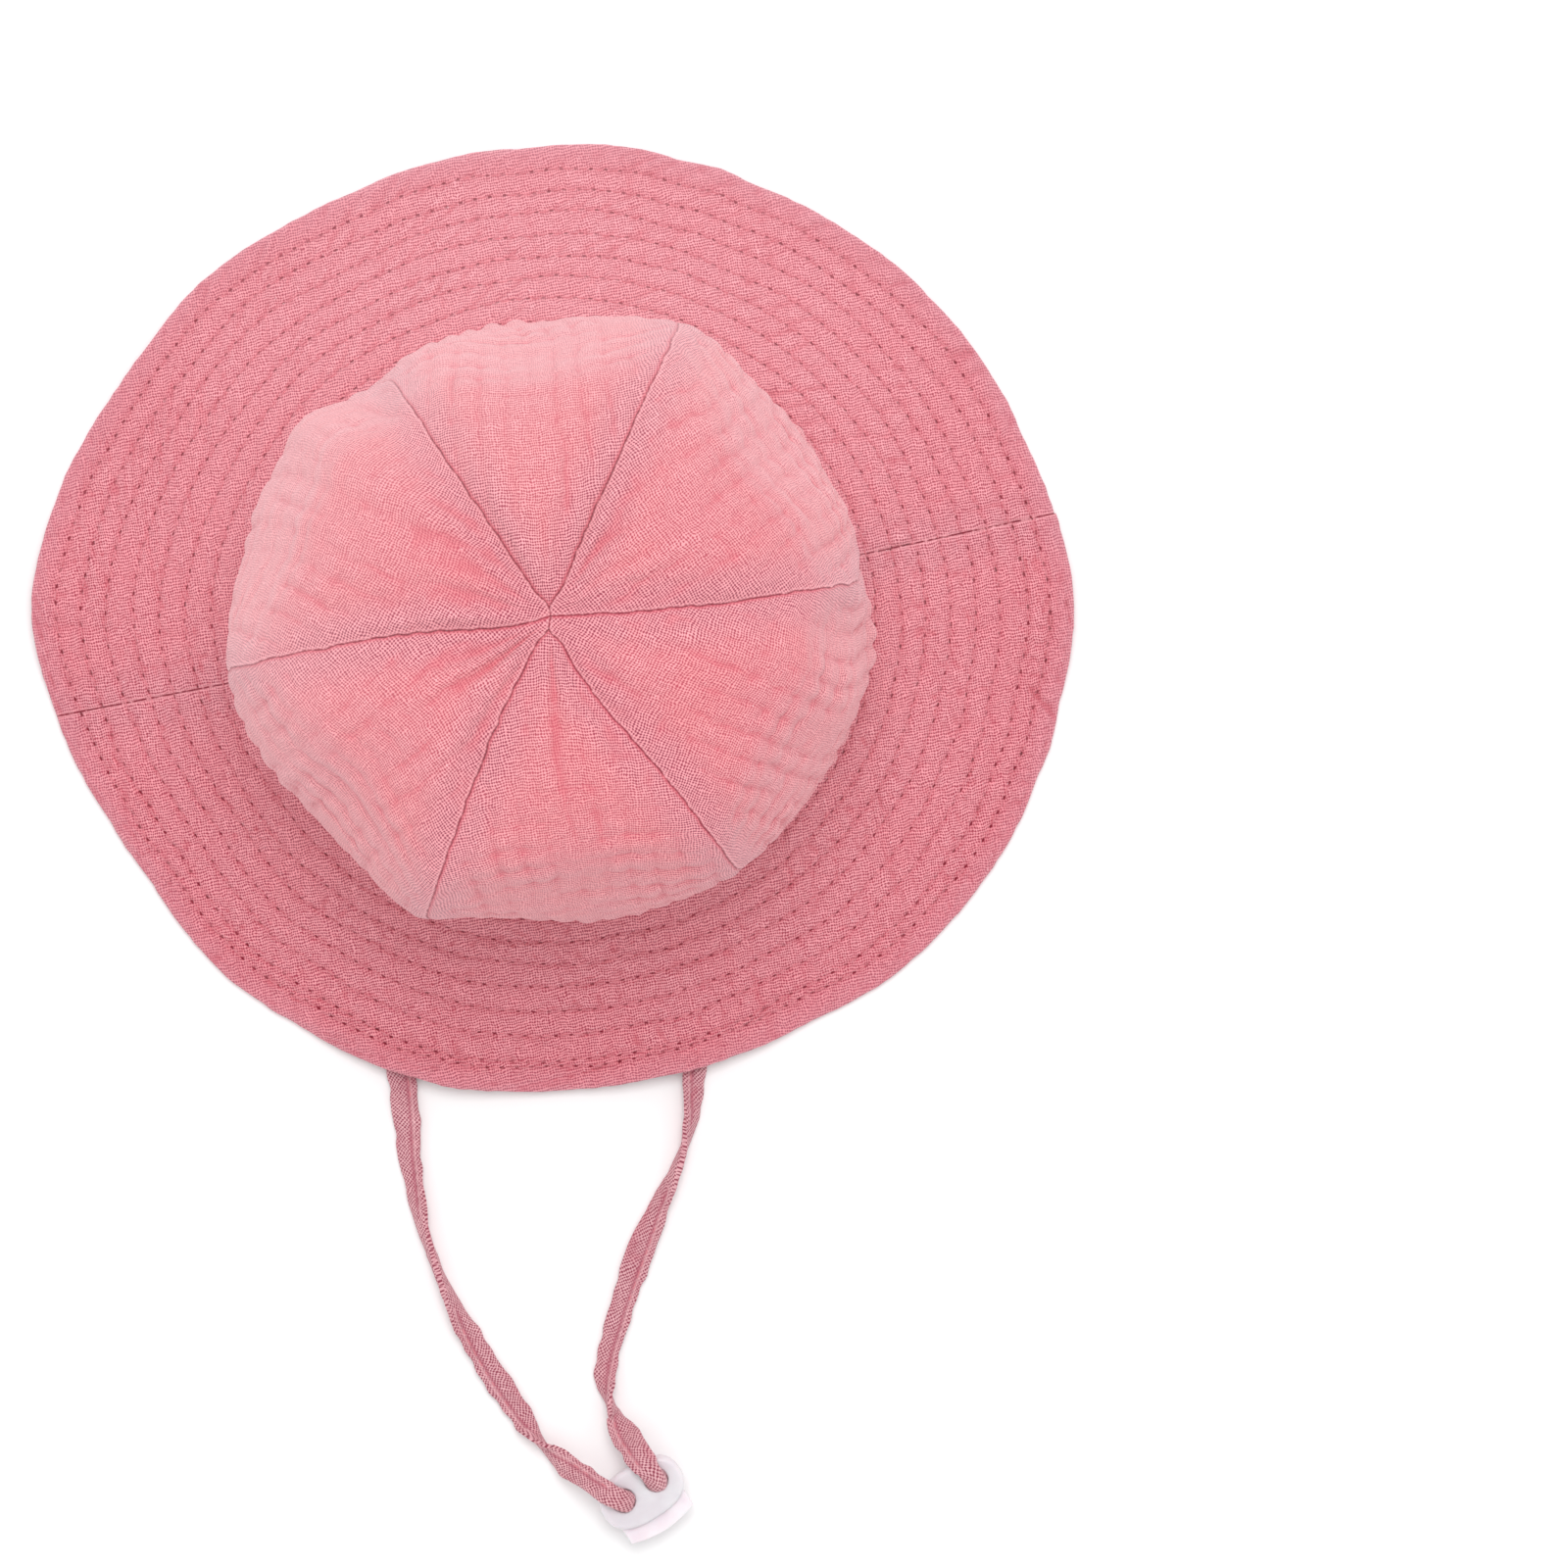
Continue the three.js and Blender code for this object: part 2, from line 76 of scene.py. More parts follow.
# Gauze: the pitch of its ridges, of the puckers across them and of its weave, and a pleat's mean height
RIDGE_PITCH = 6.6
PUCKER_PITCH = 7.8
WEFT_PITCH = 0.76
WARP_PITCH = 0.62
PLEAT_MEAN = 0.72

# Layers of unevenness in the gauze: strength, and the size of a lump across and along the cloth
RIDGE_WANDER = ((1.1, 26, 15), (0.6, 6, 4.5))
PUCKER_WANDER = ((1.2, 13, 25), (0.6, 4.5, 7))
RIDGE_STRENGTH = ((0.85, 9, 11),)
PUCKER_STRENGTH = ((0.85, 13, 9),)
FINE_LUMPS = ((1.0, 1.9, 1.6), (1.0, 3.4, 2.7))

# Crown's seams: slit, groove's depth and spread, waver and its pitch, stitch length, how high and far off
# the seam allowance stands, and how much a seam holds the crinkle flat, with the spread of each pull
SEAM_SLIT = 0.03
SEAM_DEPTH = 0.3
SEAM_SPREAD = 0.6
SEAM_WAVER = 0.32
WAVER_PITCH = 2.4
WAVER_RADII = (5, 15)
WALL_CLIMB = 55.0
SEAM_STITCH = 3.0
ALLOWANCE_HEIGHT = 0.25
ALLOWANCE_MIDDLE = 2.8
ALLOWANCE_SPREAD = 1.8
SEAM_HOLDS = ((0.55, 7), (0.4, 1.5))

# Length of a stitch in the brim's rows and the crown's topstitch, and the topstitch's height over the brim
# and the depth and spread of its groove
STITCH_LENGTH = 4.0
TOPSTITCH_HEIGHT = 3.9
TOPSTITCH_DEPTH = 0.5
TOPSTITCH_SPREAD = 0.75

# Crown's cloth: crinkle, gathers that fan out from the top, slow billow, and the fold in which the wall
# slumps
CROWN_CRINKLE = 0.62
TOP_CRINKLE = 0.4
OUTER_CRINKLE = 0.35
GATHERS_IN_A_PANEL = 7.5
GATHER_DEPTH = 1.25
GATHER_RADIUS = 24.0
BILLOW_HEIGHT = 1.1
SLUMP_HEIGHT = 17.5
SLUMP_WANDER = 3.2
SLUMP_SPREAD = 2.6
SLUMP_DEPTH = 1.9
SLUMP_DEPTH_CHANGE = 1.7
SLUMP_DEPTHS = (0.4, 3.4)
SLUMP_SWELL = 0.75
SLUMP_SWELL_ABOVE = 5.5
SLUMP_SWELL_SPREAD = 4.5

# Where the crown changes: radii over its gathered middle, radii over its shoulder, climb over its lower
# wall, and heights over which its rows of weft straighten
MIDDLE_RADII = (10, 40)
SHOULDER_RADII = (45, 73)
LOWER_WALL = (64, 46)
FLAT_TOP_HEIGHTS = (58, 86)

# Brim's rows: their stagger in stitches, the bearing where they crowd to the hem and its spread, how much
# and over how many rows they crowd, how far each wanders, and their mean spacing
ROW_STAGGER = 0.37
CROWDED_BEARING = 262.0
CROWDED_SPREAD = 62.0
ROW_CROWDING = 4.1
CROWDED_ROWS = 2.6
ROW_WANDER = 0.55
MEAN_ROW_SPACING = 6.5

# Brim's cloth: swell between rows and the spacing that allows it in full, pull and spread of the
# stitches, tucks, puckers, the hem's ripples, the crinkle, a slow billow, and the seams' grooves with the
# welts beside them
QUILT_SWELL = 0.26
QUILT_POWER = 2.4
QUILT_SPACING = 6.0
QUILT_PULL = 0.36
PULL_SPREAD = 0.5
TUCK_PITCH = 6.2
TUCK_DEPTH = 0.6
PUCKER_HEIGHT = 0.24
RIPPLE_HEIGHT = 0.4
BRIM_CRINKLE = 0.3
BRIM_BILLOW = 0.5
GROOVE_DEPTH = 0.3
GROOVE_SPREAD = 0.7
WELT_HEIGHT = 0.25
WELT_MIDDLE = 2.4
WELT_SPREAD = 1.4

# Thread: its radius, how deep a stitch dips into its holes, how high it arches, and the part of a stitch
# shown
THREAD_RADIUS = 0.2
STITCH_DIP = -0.3
STITCH_ARCH = 0.42
STITCH_SHOWN = (0.12, 0.88)

# First seed of each piece's soft noise
RIM_SEED = 31
ROW_SEED = 33
BRIM_SEED = 41
STRAP_SEED = 61
SLUMP_SEED = 90
WAVER_SEED = 95
CROWN_SEED = 100
SEEDS_PER_PANEL = 20

# Meshes: counts of columns, rows, steps and sides, and how many random values the soft noise repeats after
PANEL_COLUMNS = 118
PANEL_ROWS = 176
BRIM_COLUMNS = 556
STITCH_STEPS = 5
THREAD_SIDES = 5
LATTICE = 128

# Crown seams: bearing at the brim and at the shoulder, how far they swirl near the top and within what
# radius, a tighter hook inside that, and for seams that meet a neighbour before the top, the bearing and
# radius of that meeting point.
CROWN_SEAMS = (
    {"base": 0, "shoulder": -4, "swirl": -4.8, "reach": 52, "hook": 0, "tip": None, "tip_radius": 0},
    {"base": 60, "shoulder": 55, "swirl": 1.6, "reach": 60, "hook": 0, "tip": 88, "tip_radius": 1.9},
    {"base": 120, "shoulder": 113, "swirl": -0.6, "reach": 60, "hook": 0, "tip": 88, "tip_radius": 1.9},
    {"base": 180, "shoulder": 179, "swirl": -4, "reach": 62, "hook": 12, "tip": None, "tip_radius": 0},
    {"base": 240, "shoulder": 236.5, "swirl": -5.5, "reach": 48, "hook": 0, "tip": 249, "tip_radius": 3.3},
    {"base": 300, "shoulder": 295, "swirl": -13, "reach": 28, "hook": 0, "tip": 249, "tip_radius": 3.3},
)
PANEL_SPAN = 360 / len(CROWN_SEAMS)
HOOK_REACH = 17.0
TIP_REACH = 8.0

# Whether a panel's edge lies under its neighbour's at its right and its left seam.
PANEL_UNDER = ((0, 0), (1, 1), (0, 0), (1, 0), (1, 1), (0, 1))

# The crown from the brim up: height over the seam, radius at a panel's edges, how far its middle stands
# out and up, and how much of the seams' turn and of the shoulder's dents is reached.
LEVEL_COLUMNS = ("height", "radius", "out", "up", "turn", "dent")
CROWN_LEVELS = (
    (-1.3, 75, 0, 0, 0, 0),
    (5, 75.8, 0.8, 0, 0.02, 0),
    (11, 75.9, 1.7, 0, 0.06, 0.05),
    (17, 74, 0.7, 0, 0.12, 0.1),
    (23, 75.2, 1.6, 0, 0.2, 0.2),
    (32, 76, 1.5, 0, 0.35, 0.4),
    (43, 76.9, 0.9, 0, 0.55, 0.65),
    (52, 77.2, -0.4, 0, 0.75, 0.9),
    (60, 76.6, -2, 0, 0.9, 1),
    (67, 74.6, -3.6, 0.3, 1, 1),
    (73, 71.6, -4.3, 1.2, 1, 0.95),
    (78.5, 67.4, -3.6, 2.4, 1, 0.8),
    (83, 60, -1.7, 3, 1, 0.6),
    (86.8, 46, 0, 3.2, 1, 0.35),
    (88.8, 31, 0, 2.8, 1, 0.2),
    (89.4, 17, 0, 1.8, 1, 0.1),
    (88.6, 7, 0, 0.8, 1, 0),
    (87.6, 1.4, 0, 0, 1, 0),
    (87.3, 0.1, 0, 0, 1, 0),
)
TOP_HEIGHT = 87.6

# Where the shoulder is pushed in or stands out: bearing, reach outwards, spread in degrees.
SHOULDER_DENTS = (
    (25, -4.6, 14),
    (53, 3.6, 10),
    (86, -4.6, 15),
    (117, -6.2, 10),
    (130, 2.8, 8),
    (141, -1.8, 6),
    (155, -2.8, 9),
    (181, 2.2, 12),
    (208, -3.2, 8),
    (233, 5.6, 10),
    (268, -1.4, 11),
    (294, 1.4, 8),
    (317, -3.2, 14),
    (346, -3.4, 7),
    (358, -3, 11),
)

# Folds of the rim: bearing, reach outwards, spread in degrees, lift off the surface.
RIM_FOLDS = (
    (13, -0.9, 9, 0),
    (70, 1.1, 14, 0),
    (112, -2, 14, 0),
    (137, -2.5, 9, 1.8),
    (166.5, 3.1, 9.5, 3.4),
    (198.5, -4.4, 14.5, 0),
    (243.5, 1.6, 12.5, 5.2),
    (274, -0.9, 13, 5.2),
    (290, -1.3, 10, 0),
    (306, 0.9, 8, 0),
    (324, 0.1, 12, 0),
    (351, 1.5, 10, 2.4),
)

# Short creases of the brim: bearing at the rim, distance from the rim where it ends, slant in degrees of
# bearing from the rim to that end, depth and half width in mm.
BRIM_CREASES = (
    (337.6, 15, 5.5, 1.3, 1.1),
    (341.5, 9, 3.5, 0.5, 0.8),
    (286.5, 26, 1.5, 0.6, 1.2),
    (148, 24, -2, 0.55, 1.2),
    (169.5, 30, 1.5, 0.5, 1.5),
    (214, 22, -1, 0.5, 1.3),
    (69, 20, 1, 0.4, 1.2),
    (22, 18, -1.5, 0.45, 1.1),
)

# The strap's route from the left ear to the right ear: x, y, z in metres, the bearing of its width, width
# and thickness in millimetres, and how far it is rolled over from lying flat, in degrees.
STRAP_ROUTE = (
    (-0.07305, -0.0058, 0.0275, 90, 7.4, 1.9, 0),
    (-0.07295, -0.0072, 0.015, 84, 7.4, 1.9, 0),
    (-0.0724, -0.015, 0.0042, 40, 7.2, 1.9, 0),
    (-0.07, -0.032, 0.001, 8, 7.4, 1.9, 0),
    (-0.066, -0.06, 0.001, 7, 7.4, 1.9, 0),
    (-0.063, -0.088, 0.001, 3, 7.4, 1.9, 0),
    (-0.0629, -0.112, 0.001, -3, 7.4, 1.9, 0),
    (-0.0649, -0.134, 0.001, -3, 6.4, 1.9, 24),
    (-0.0649, -0.149, 0.001, 3, 5, 2.2, 58),
    (-0.0629, -0.163, 0.0013, 13, 4.8, 2.5, 98),
    (-0.0576, -0.182, 0.001, 18, 6.6, 1.9, 160),
    (-0.0497, -0.2018, 0.0011, 23, 6.6, 2.1, 176),
    (-0.046, -0.2096, 0.0018, 30, 5.6, 2.3, 96),
    (-0.04, -0.217, 0.0052, 42, 6.8, 2.1, 12),
    (-0.0336, -0.2228, 0.0106, 46, 6.6, 2.2, 0),
    (-0.0296, -0.2263, 0.0124, 46, 5.8, 3, 0),
    (-0.02715, -0.22845, 0.0098, 60, 5.7, 5.4, 0),
    (-0.02715, -0.22845, 0.0058, 90, 5.4, 5.3, 0),
    (-0.0261, -0.22805, 0.0029, 112, 3.8, 2.8, 0),
    (-0.0225, -0.2266, 0.0013, 112, 5.4, 2.3, 0),
    (-0.0189, -0.22515, 0.0029, 112, 3.8, 2.8, 0),
    (-0.01785, -0.22475, 0.0058, 135, 5.4, 5.3, 0),
    (-0.01785, -0.22475, 0.0098, 175, 5.7, 5.4, 0),
    (-0.0191, -0.2218, 0.0124, 205, 5.8, 3, 0),
    (-0.0213, -0.2171, 0.0106, 205, 6.8, 2.2, 0),
    (-0.0239, -0.2116, 0.0054, 203, 7.2, 2, 8),
    (-0.0259, -0.2046, 0.0018, 192, 5.6, 2.3, 84),
    (-0.0256, -0.196, 0.0011, 168, 6.2, 2, 158),
    (-0.0195, -0.1826, 0.001, 155, 6.3, 1.9, 180),
    (-0.0085, -0.1633, 0.001, 148, 7.2, 1.9, 172),
    (0.0044, -0.1444, 0.0013, 148, 4.7, 2.4, 100),
    (0.0092, -0.1345, 0.001, 158, 5.6, 2.1, 52),
    (0.0133, -0.1205, 0.001, 158, 6.6, 1.9, 14),
    (0.024, -0.098, 0.001, 149, 7.4, 1.9, 0),
    (0.041, -0.071, 0.001, 147, 7.4, 1.9, 0),
    (0.058, -0.045, 0.001, 150, 7.4, 1.9, 0),
    (0.0685, -0.026, 0.0013, 156, 7.4, 1.9, 0),
    (0.0724, -0.014, 0.005, 138, 7.2, 1.9, 0),
    (0.0732, -0.0072, 0.015, 98, 7.4, 1.9, 0),
    (0.0734, -0.0058, 0.0275, 90, 7.4, 1.9, 0),
)

# Strap: width, mesh counts, squareness of its section, then in shares of its width where the seam runs,
# and in mm the depth of its crease and of its relief, its stitches, and the widths from which it lies
# flat and loose
STRAP_STEPS_PER_POINT = 18
STRAP_SIDES = 36
STRAP_CORNER = 0.7
STRAP_SEAM = 0.2
STRAP_CREASE = 0.36
STRAP_THINNING = 0.16
STRAP_RIPPLE = 0.15
STRAP_SWELL = 0.24
STRAP_TUCK = 0.34
STRAP_TUCK_PITCH = 5.2
STRAP_EDGE_WAVE = 0.42
STRAP_NOTCH = 0.45
STRAP_NOTCH_SPREAD = 0.22
STRAP_STITCH = 3.2
STRAP_FLAT_WIDTH = 6.2
STRAP_LOOSE_WIDTH = 6.0
STRAP_WIDTH_CHANGE = 0.6
GROUND_CLEARANCE = 0.15

# Cord lock: the middle of its foot, its bearing, its sizes, and its button's
LOCK_PLACE = (-22.5, -226.6, 4.4)
LOCK_BEARING = 21.7
LOCK_HALF_LENGTH = 11.6
LOCK_HALF_WIDTH = 7.5
LOCK_THICKNESS = 5.8
LOCK_EDGE = 1.1
LOCK_WALL = 1.0
LOCK_SQUARENESS = 2.5
LOCK_OFFSET = -1.0
HOLE_SPACING = 10.0
HOLE_RADIUS = 3.1
BUTTON_HALF_WIDTH = 9.5
BUTTON_THICKNESS = 3.0
BUTTON_EDGE = 0.5
BUTTON_CORNER_REACH = 10.9
BUTTON_REACH = 12.6
BUTTON_TRAVEL = 1.8
SLOT_CLEARANCE = 0.3
HOLE_ROUNDING = 0.5
LOCK_OUTLINE_STEPS = 96
EDGE_STEPS = 6
HOLE_SIDES = 48

# The camera hangs over the top of the crown, with its picture turned 11 degrees from the side seams.
CAMERA_PLACE = (-0.0012, 0.0009)
CAMERA_HEIGHT = 1.4
SENSOR_WIDTH = 36
PICTURE_UP_BEARING = 79.0
PICTURE_WIDTH = 0.4103
PICTURE_CENTRE = (0.0605, -0.0436)

# Stage, in metres
FLOOR_HALF = 4.0
FLOOR_HEIGHT = -0.0003
FLOOR_CORNERS = ((-1, -1), (1, -1), (1, 1), (-1, 1))
PAPER = (0.94, 0.94, 0.94, 1)
SURROUND_LIGHT = 0.86
LAMP_SIZE = 1.1
LAMP_WATTS = 20
LAMP_HEIGHT = 2.0
LAMP_OUT = 0.68
LAMP_BEARING = PICTURE_UP_BEARING - 4


def direction(bearing):
    """Level direction at a bearing in degrees."""
    turn = math.radians(bearing)
    return Vector((math.cos(turn), math.sin(turn), 0))


def hang_camera():
    """The camera straight above the top of the crown, looking at the middle of the picture on the
    table."""
    up = direction(PICTURE_UP_BEARING)
    right = direction(PICTURE_UP_BEARING - 90)
    top = Vector((CAMERA_PLACE[0], CAMERA_PLACE[1], 0))
    place = top + Vector((0, 0, CAMERA_HEIGHT))
    target = top + PICTURE_CENTRE[0] * right + PICTURE_CENTRE[1] * up
    back = (place - target).normalized()
    side = up.cross(back).normalized()
    camera = bpy.data.objects.new("camera", bpy.data.cameras.new("camera"))
    camera.data.sensor_width = SENSOR_WIDTH
    camera.data.lens = SENSOR_WIDTH * (place - target).length / PICTURE_WIDTH
    camera.matrix_world = Matrix((side, back.cross(side), back)).transposed().to_4x4()
    camera.location = place
    bpy.context.scene.collection.objects.link(camera)
    bpy.context.scene.camera = camera


# Curves, bumps and noise over arrays


def through(values, place):
    """The smooth curve through a column of values at a fractional row: a cubic between each two rows,
    whose slope at a row is half the step from the row before to the row after."""
    values = np.asarray(values, float)
    last = len(values) - 1
    row = np.clip(np.floor(place), 0, last - 1).astype(int)
    t = place - row
    a, b = values[np.maximum(row - 1, 0)], values[row]
    c, d = values[row + 1], values[np.minimum(row + 2, last)]
    slope_b, slope_c = (c - a) / 2, (d - b) / 2
    bend = 3 * (c - b) - 2 * slope_b - slope_c
    twist = 2 * (b - c) + slope_b + slope_c
    return b + t * (slope_b + t * (bend + t * twist))


def bump(away, spread):
    """A soft bump: 1 where `away` is 0, fading with the square of its share of `spread`."""
    return np.exp(-((away / spread) ** 2))


def share_between(value, start, end):
    """0 before `start`, 1 past `end` and straight between them; `end` may be the smaller one."""
    return np.clip((value - start) / (end - start), 0, 1)


def angle_from(bearing, other):
    """Degrees from another bearing, from -180 to 180."""
    return (bearing - other + 180) % 360 - 180


def signed_power(value, power):
    """The size of a value to a power, with the value's own sign."""
    return np.sign(value) * np.abs(value) ** power


def fold_sum(bearing, folds, column):
    """The sum of a table's bumps at a bearing: `column` times a bump of the row's spread at the row's
    bearing."""
    total = np.zeros_like(bearing, float)
    for fold in folds:
        total = total + fold[column] * bump(angle_from(bearing, fold[0]), fold[2])
    return total


def smooth_step(t):
    """Three times the square of a share less twice its cube, which is level at 0 and at 1."""
    return t * t * (3 - 2 * t)


def soft_noise(x, y, seed):
    """Random values from -1 to 1 at whole x and y, joined by smooth steps between them."""
    lattice = np.random.default_rng(seed).uniform(-1, 1, (LATTICE, LATTICE))
    i, j = np.floor(x).astype(int), np.floor(y).astype(int)
    u, v = smooth_step(x - i), smooth_step(y - j)
    i, j, i2, j2 = i % LATTICE, j % LATTICE, (i + 1) % LATTICE, (j + 1) % LATTICE
    low = lattice[i, j] * (1 - u) + lattice[i2, j] * u
    high = lattice[i, j2] * (1 - u) + lattice[i2, j2] * u
    return low * (1 - v) + high * v


def lumps(across, along, layers, seed):
    """The sum of layers of soft noise, each its strength times noise over lumps of its own size, with the
    next seed for each layer."""
    total = 0
    for number, (strength, wide, long) in enumerate(layers):
        total = total + strength * soft_noise(across / wide, along / long, seed + number)
    return total


def pleat(turns, sharpness=0.65):
    """A row of soft ridges between sharp valleys at whole turns: the size of the sine of half a turn, to
    a power."""
    return np.abs(np.sin(math.pi * turns)) ** sharpness


def gauze_crinkle(across, along, seed, cross=1.0):
    """Relief of washed double gauze, about -1 to 1: soft cells between the sharp valleys of a grid, whose
    lines wander and come and go in patches, with a fine unevenness over all. `cross` is the share of the
    valleys that run across the cloth."""
    wander = lumps(across, along, RIDGE_WANDER, seed)
    drift = lumps(across, along, PUCKER_WANDER, seed + 2)
    ridges = pleat((across + wander) / RIDGE_PITCH) - PLEAT_MEAN
    puckers = pleat((along + drift) / PUCKER_PITCH) - PLEAT_MEAN
    ridge_strength = np.clip(0.7 + lumps(across, along, RIDGE_STRENGTH, seed + 4), 0.08, 1.4)
    pucker_strength = np.clip(0.6 + lumps(across, along, PUCKER_STRENGTH, seed + 5), 0.05, 1.35)
    uneven = lumps(across, along, FINE_LUMPS, seed + 6)
    return 1.15 * ridge_strength * ridges + cross * pucker_strength * puckers + 0.2 * uneven


def oval_share(bearing):
    """How far the hat's oval reaches there: 1 at its long ends, -1 at its short ones."""
    return np.cos(2 * np.radians(bearing - OVAL_BEARING))


def light_and_lint_pale(bearing, lit_bearing, narrowness):
    """How much paler the cloth is painted, as painted light: 1 at the lit bearing, falling to 0 opposite it
    by a raised cosine to the power of its narrowness."""
    return (0.5 + 0.5 * np.cos(np.radians(bearing - lit_bearing))) ** narrowness


# Meshes


def make_piece(name, points, faces, material, body, cloth=None, values=None):
    """A mesh piece from points in millimetres and faces of three or four corners, with a UV map named
    cloth and one attribute for each of `values`."""
    mesh = bpy.data.meshes.new(name)
    corners = faces.shape[1]
    mesh.vertices.add(len(points))
    mesh.vertices.foreach_set("co", (points * MM).astype(np.float32).ravel())
    mesh.loops.add(faces.size)
    mesh.loops.foreach_set("vertex_index", faces.astype(np.int32).ravel())
    mesh.polygons.add(len(faces))
    mesh.polygons.foreach_set("loop_start", np.arange(0, faces.size, corners, dtype=np.int32))
    mesh.update(calc_edges=True)
    mesh.polygons.foreach_set("use_smooth", np.ones(len(faces), bool))
    mesh.set_sharp_from_angle(angle=CLOTH_CORNER)
    if cloth is not None:
        layer = mesh.uv_layers.new(name="cloth")
        layer.data.foreach_set("uv", cloth[faces.ravel()].astype(np.float32).ravel())
    for key, value in (values or {}).items():
        attribute = mesh.attributes.new(key, "FLOAT", "POINT")
        attribute.data.foreach_set("value", value.astype(np.float32).ravel())
    mesh.materials.append(material)
    piece = bpy.data.objects.new(name, mesh)
    bpy.context.scene.collection.objects.link(piece)
    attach(piece, body)
    return piece


def quads(a, b, c, d):
    """Faces of four corners, from four arrays of corner numbers."""
    return np.stack([a, b, c, d], axis=-1).reshape(-1, 4)


def twice(value):
    """The same values for a wall's outer and inner sheet."""
    return np.concatenate([value.ravel(), value.ravel()])


def wall_faces(rows, columns):
    """Faces of a closed wall between an outer and an inner sheet of rows by columns, in that order."""
    a = np.arange(rows * columns).reshape(rows, columns)
    b = a + rows * columns
    return np.concatenate(
        [
            quads(a[:-1, :-1], a[:-1, 1:], a[1:, 1:], a[1:, :-1]),
            quads(b[:-1, :-1], b[1:, :-1], b[1:, 1:], b[:-1, 1:]),
            quads(a[0, :-1], b[0, :-1], b[0, 1:], a[0, 1:]),
            quads(a[-1, :-1], a[-1, 1:], b[-1, 1:], b[-1, :-1]),
            quads(a[:-1, 0], a[1:, 0], b[1:, 0], b[:-1, 0]),
            quads(a[:-1, -1], b[:-1, -1], b[1:, -1], a[1:, -1]),
        ]
    )


def tube_faces(rings, sides):
    """Faces of tubes of `rings` rings of `sides` corners, without their ends."""
    ring = np.arange(rings * sides).reshape(rings, sides)
    after = np.roll(ring, -1, axis=1)
    return quads(ring[:-1], after[:-1], after[1:], ring[1:])


def end_faces(rings, sides):
    """Faces that close both ends of such a tube: quads from side to side of its first and its last
    ring."""
    low = np.arange(sides // 2 - 1)
    across = quads(low, low + 1, sides - 2 - low, sides - 1 - low)
    return np.concatenate([across[:, ::-1], across + (rings - 1) * sides])


def gathered(count, ends):
    """Shares from 0 to 1 that crowd towards both ends: each step is `ends` times the mean step there. A
    share is its even place less a sine of one full turn."""
    t = np.linspace(0, 1, count + 1)
    return t - (1 - ends) * np.sin(2 * math.pi * t) / (2 * math.pi)


# Crown


def crown_level(column, place):
    """A column of the crown's levels at a place, which counts its rows from the brim up."""
    return through([row[LEVEL_COLUMNS.index(column)] for row in CROWN_LEVELS], place)


def seam_bearing(number, turn, radius):
    """Bearing of a crown seam: from base to shoulder as it turns, with a fine waver, plus a swirl and a
    hook that fade away from the top, and for a seam that meets its neighbour, drawn to the meeting point
    near it."""
    laps, which = divmod(number, len(CROWN_SEAMS))
    seam = CROWN_SEAMS[which]
    bearing = seam["base"] + turn * (seam["shoulder"] - seam["base"])
    waver = SEAM_WAVER * soft_noise((WALL_CLIMB * turn - radius) / WAVER_PITCH, 3.7 * which, WAVER_SEED)
    waver = waver * share_between(radius, *WAVER_RADII)
    bearing = bearing + np.degrees(waver / np.maximum(radius, WAVER_RADII[0]))
    bearing = bearing + seam["swirl"] * bump(radius, seam["reach"])
    bearing = bearing + seam["hook"] * bump(radius, HOOK_REACH)
    if seam["tip"] is not None:
        near = share_between(radius, TIP_REACH, seam["tip_radius"]) ** 2
        bearing = bearing + near * (seam["tip"] - bearing)
    return bearing + 360 * laps


def crown_skin(panel, share, place):
    """The outer skin of a panel without its relief: share runs from its right seam to its left seam and
    place counts the crown's levels from the brim up. The radius is the level's, made oval, dented, and
    pushed out by the bulge of one minus the cube of the distance from the panel's middle."""
    radius = crown_level("radius", place)
    turn = crown_level("turn", place)
    height = crown_level("height", place)
    slit = np.degrees(SEAM_SLIT / 2 / np.maximum(radius, SEAM_SLIT))
    start = seam_bearing(panel, turn, radius) + slit
    end = seam_bearing(panel + 1, turn, radius) - slit
    bearing = start + share * (end - start)
    bulge = 1 - np.abs(2 * share - 1) ** PUFF_POWER
    oval = SEAM_OVAL * oval_share(bearing) * np.minimum(1, radius / SEAM_RADIUS)
    dent = crown_level("dent", place) * fold_sum(bearing, SHOULDER_DENTS, 1)
    out = radius + oval + dent + crown_level("out", place) * bulge
    up = SEAM_HEIGHT + CROWN_CLEARANCE + height + crown_level("up", place) * bulge
    lean = height / TOP_HEIGHT
    x = out * np.cos(np.radians(bearing)) + APEX_LEAN[0] * lean
    y = out * np.sin(np.radians(bearing)) + APEX_LEAN[1] * lean
    return np.stack([x, y, up], axis=-1)


def unit(vectors):
    """The vectors at length 1."""
    length = np.linalg.norm(vectors, axis=-1, keepdims=True)
    return vectors / np.maximum(length, 1e-9)


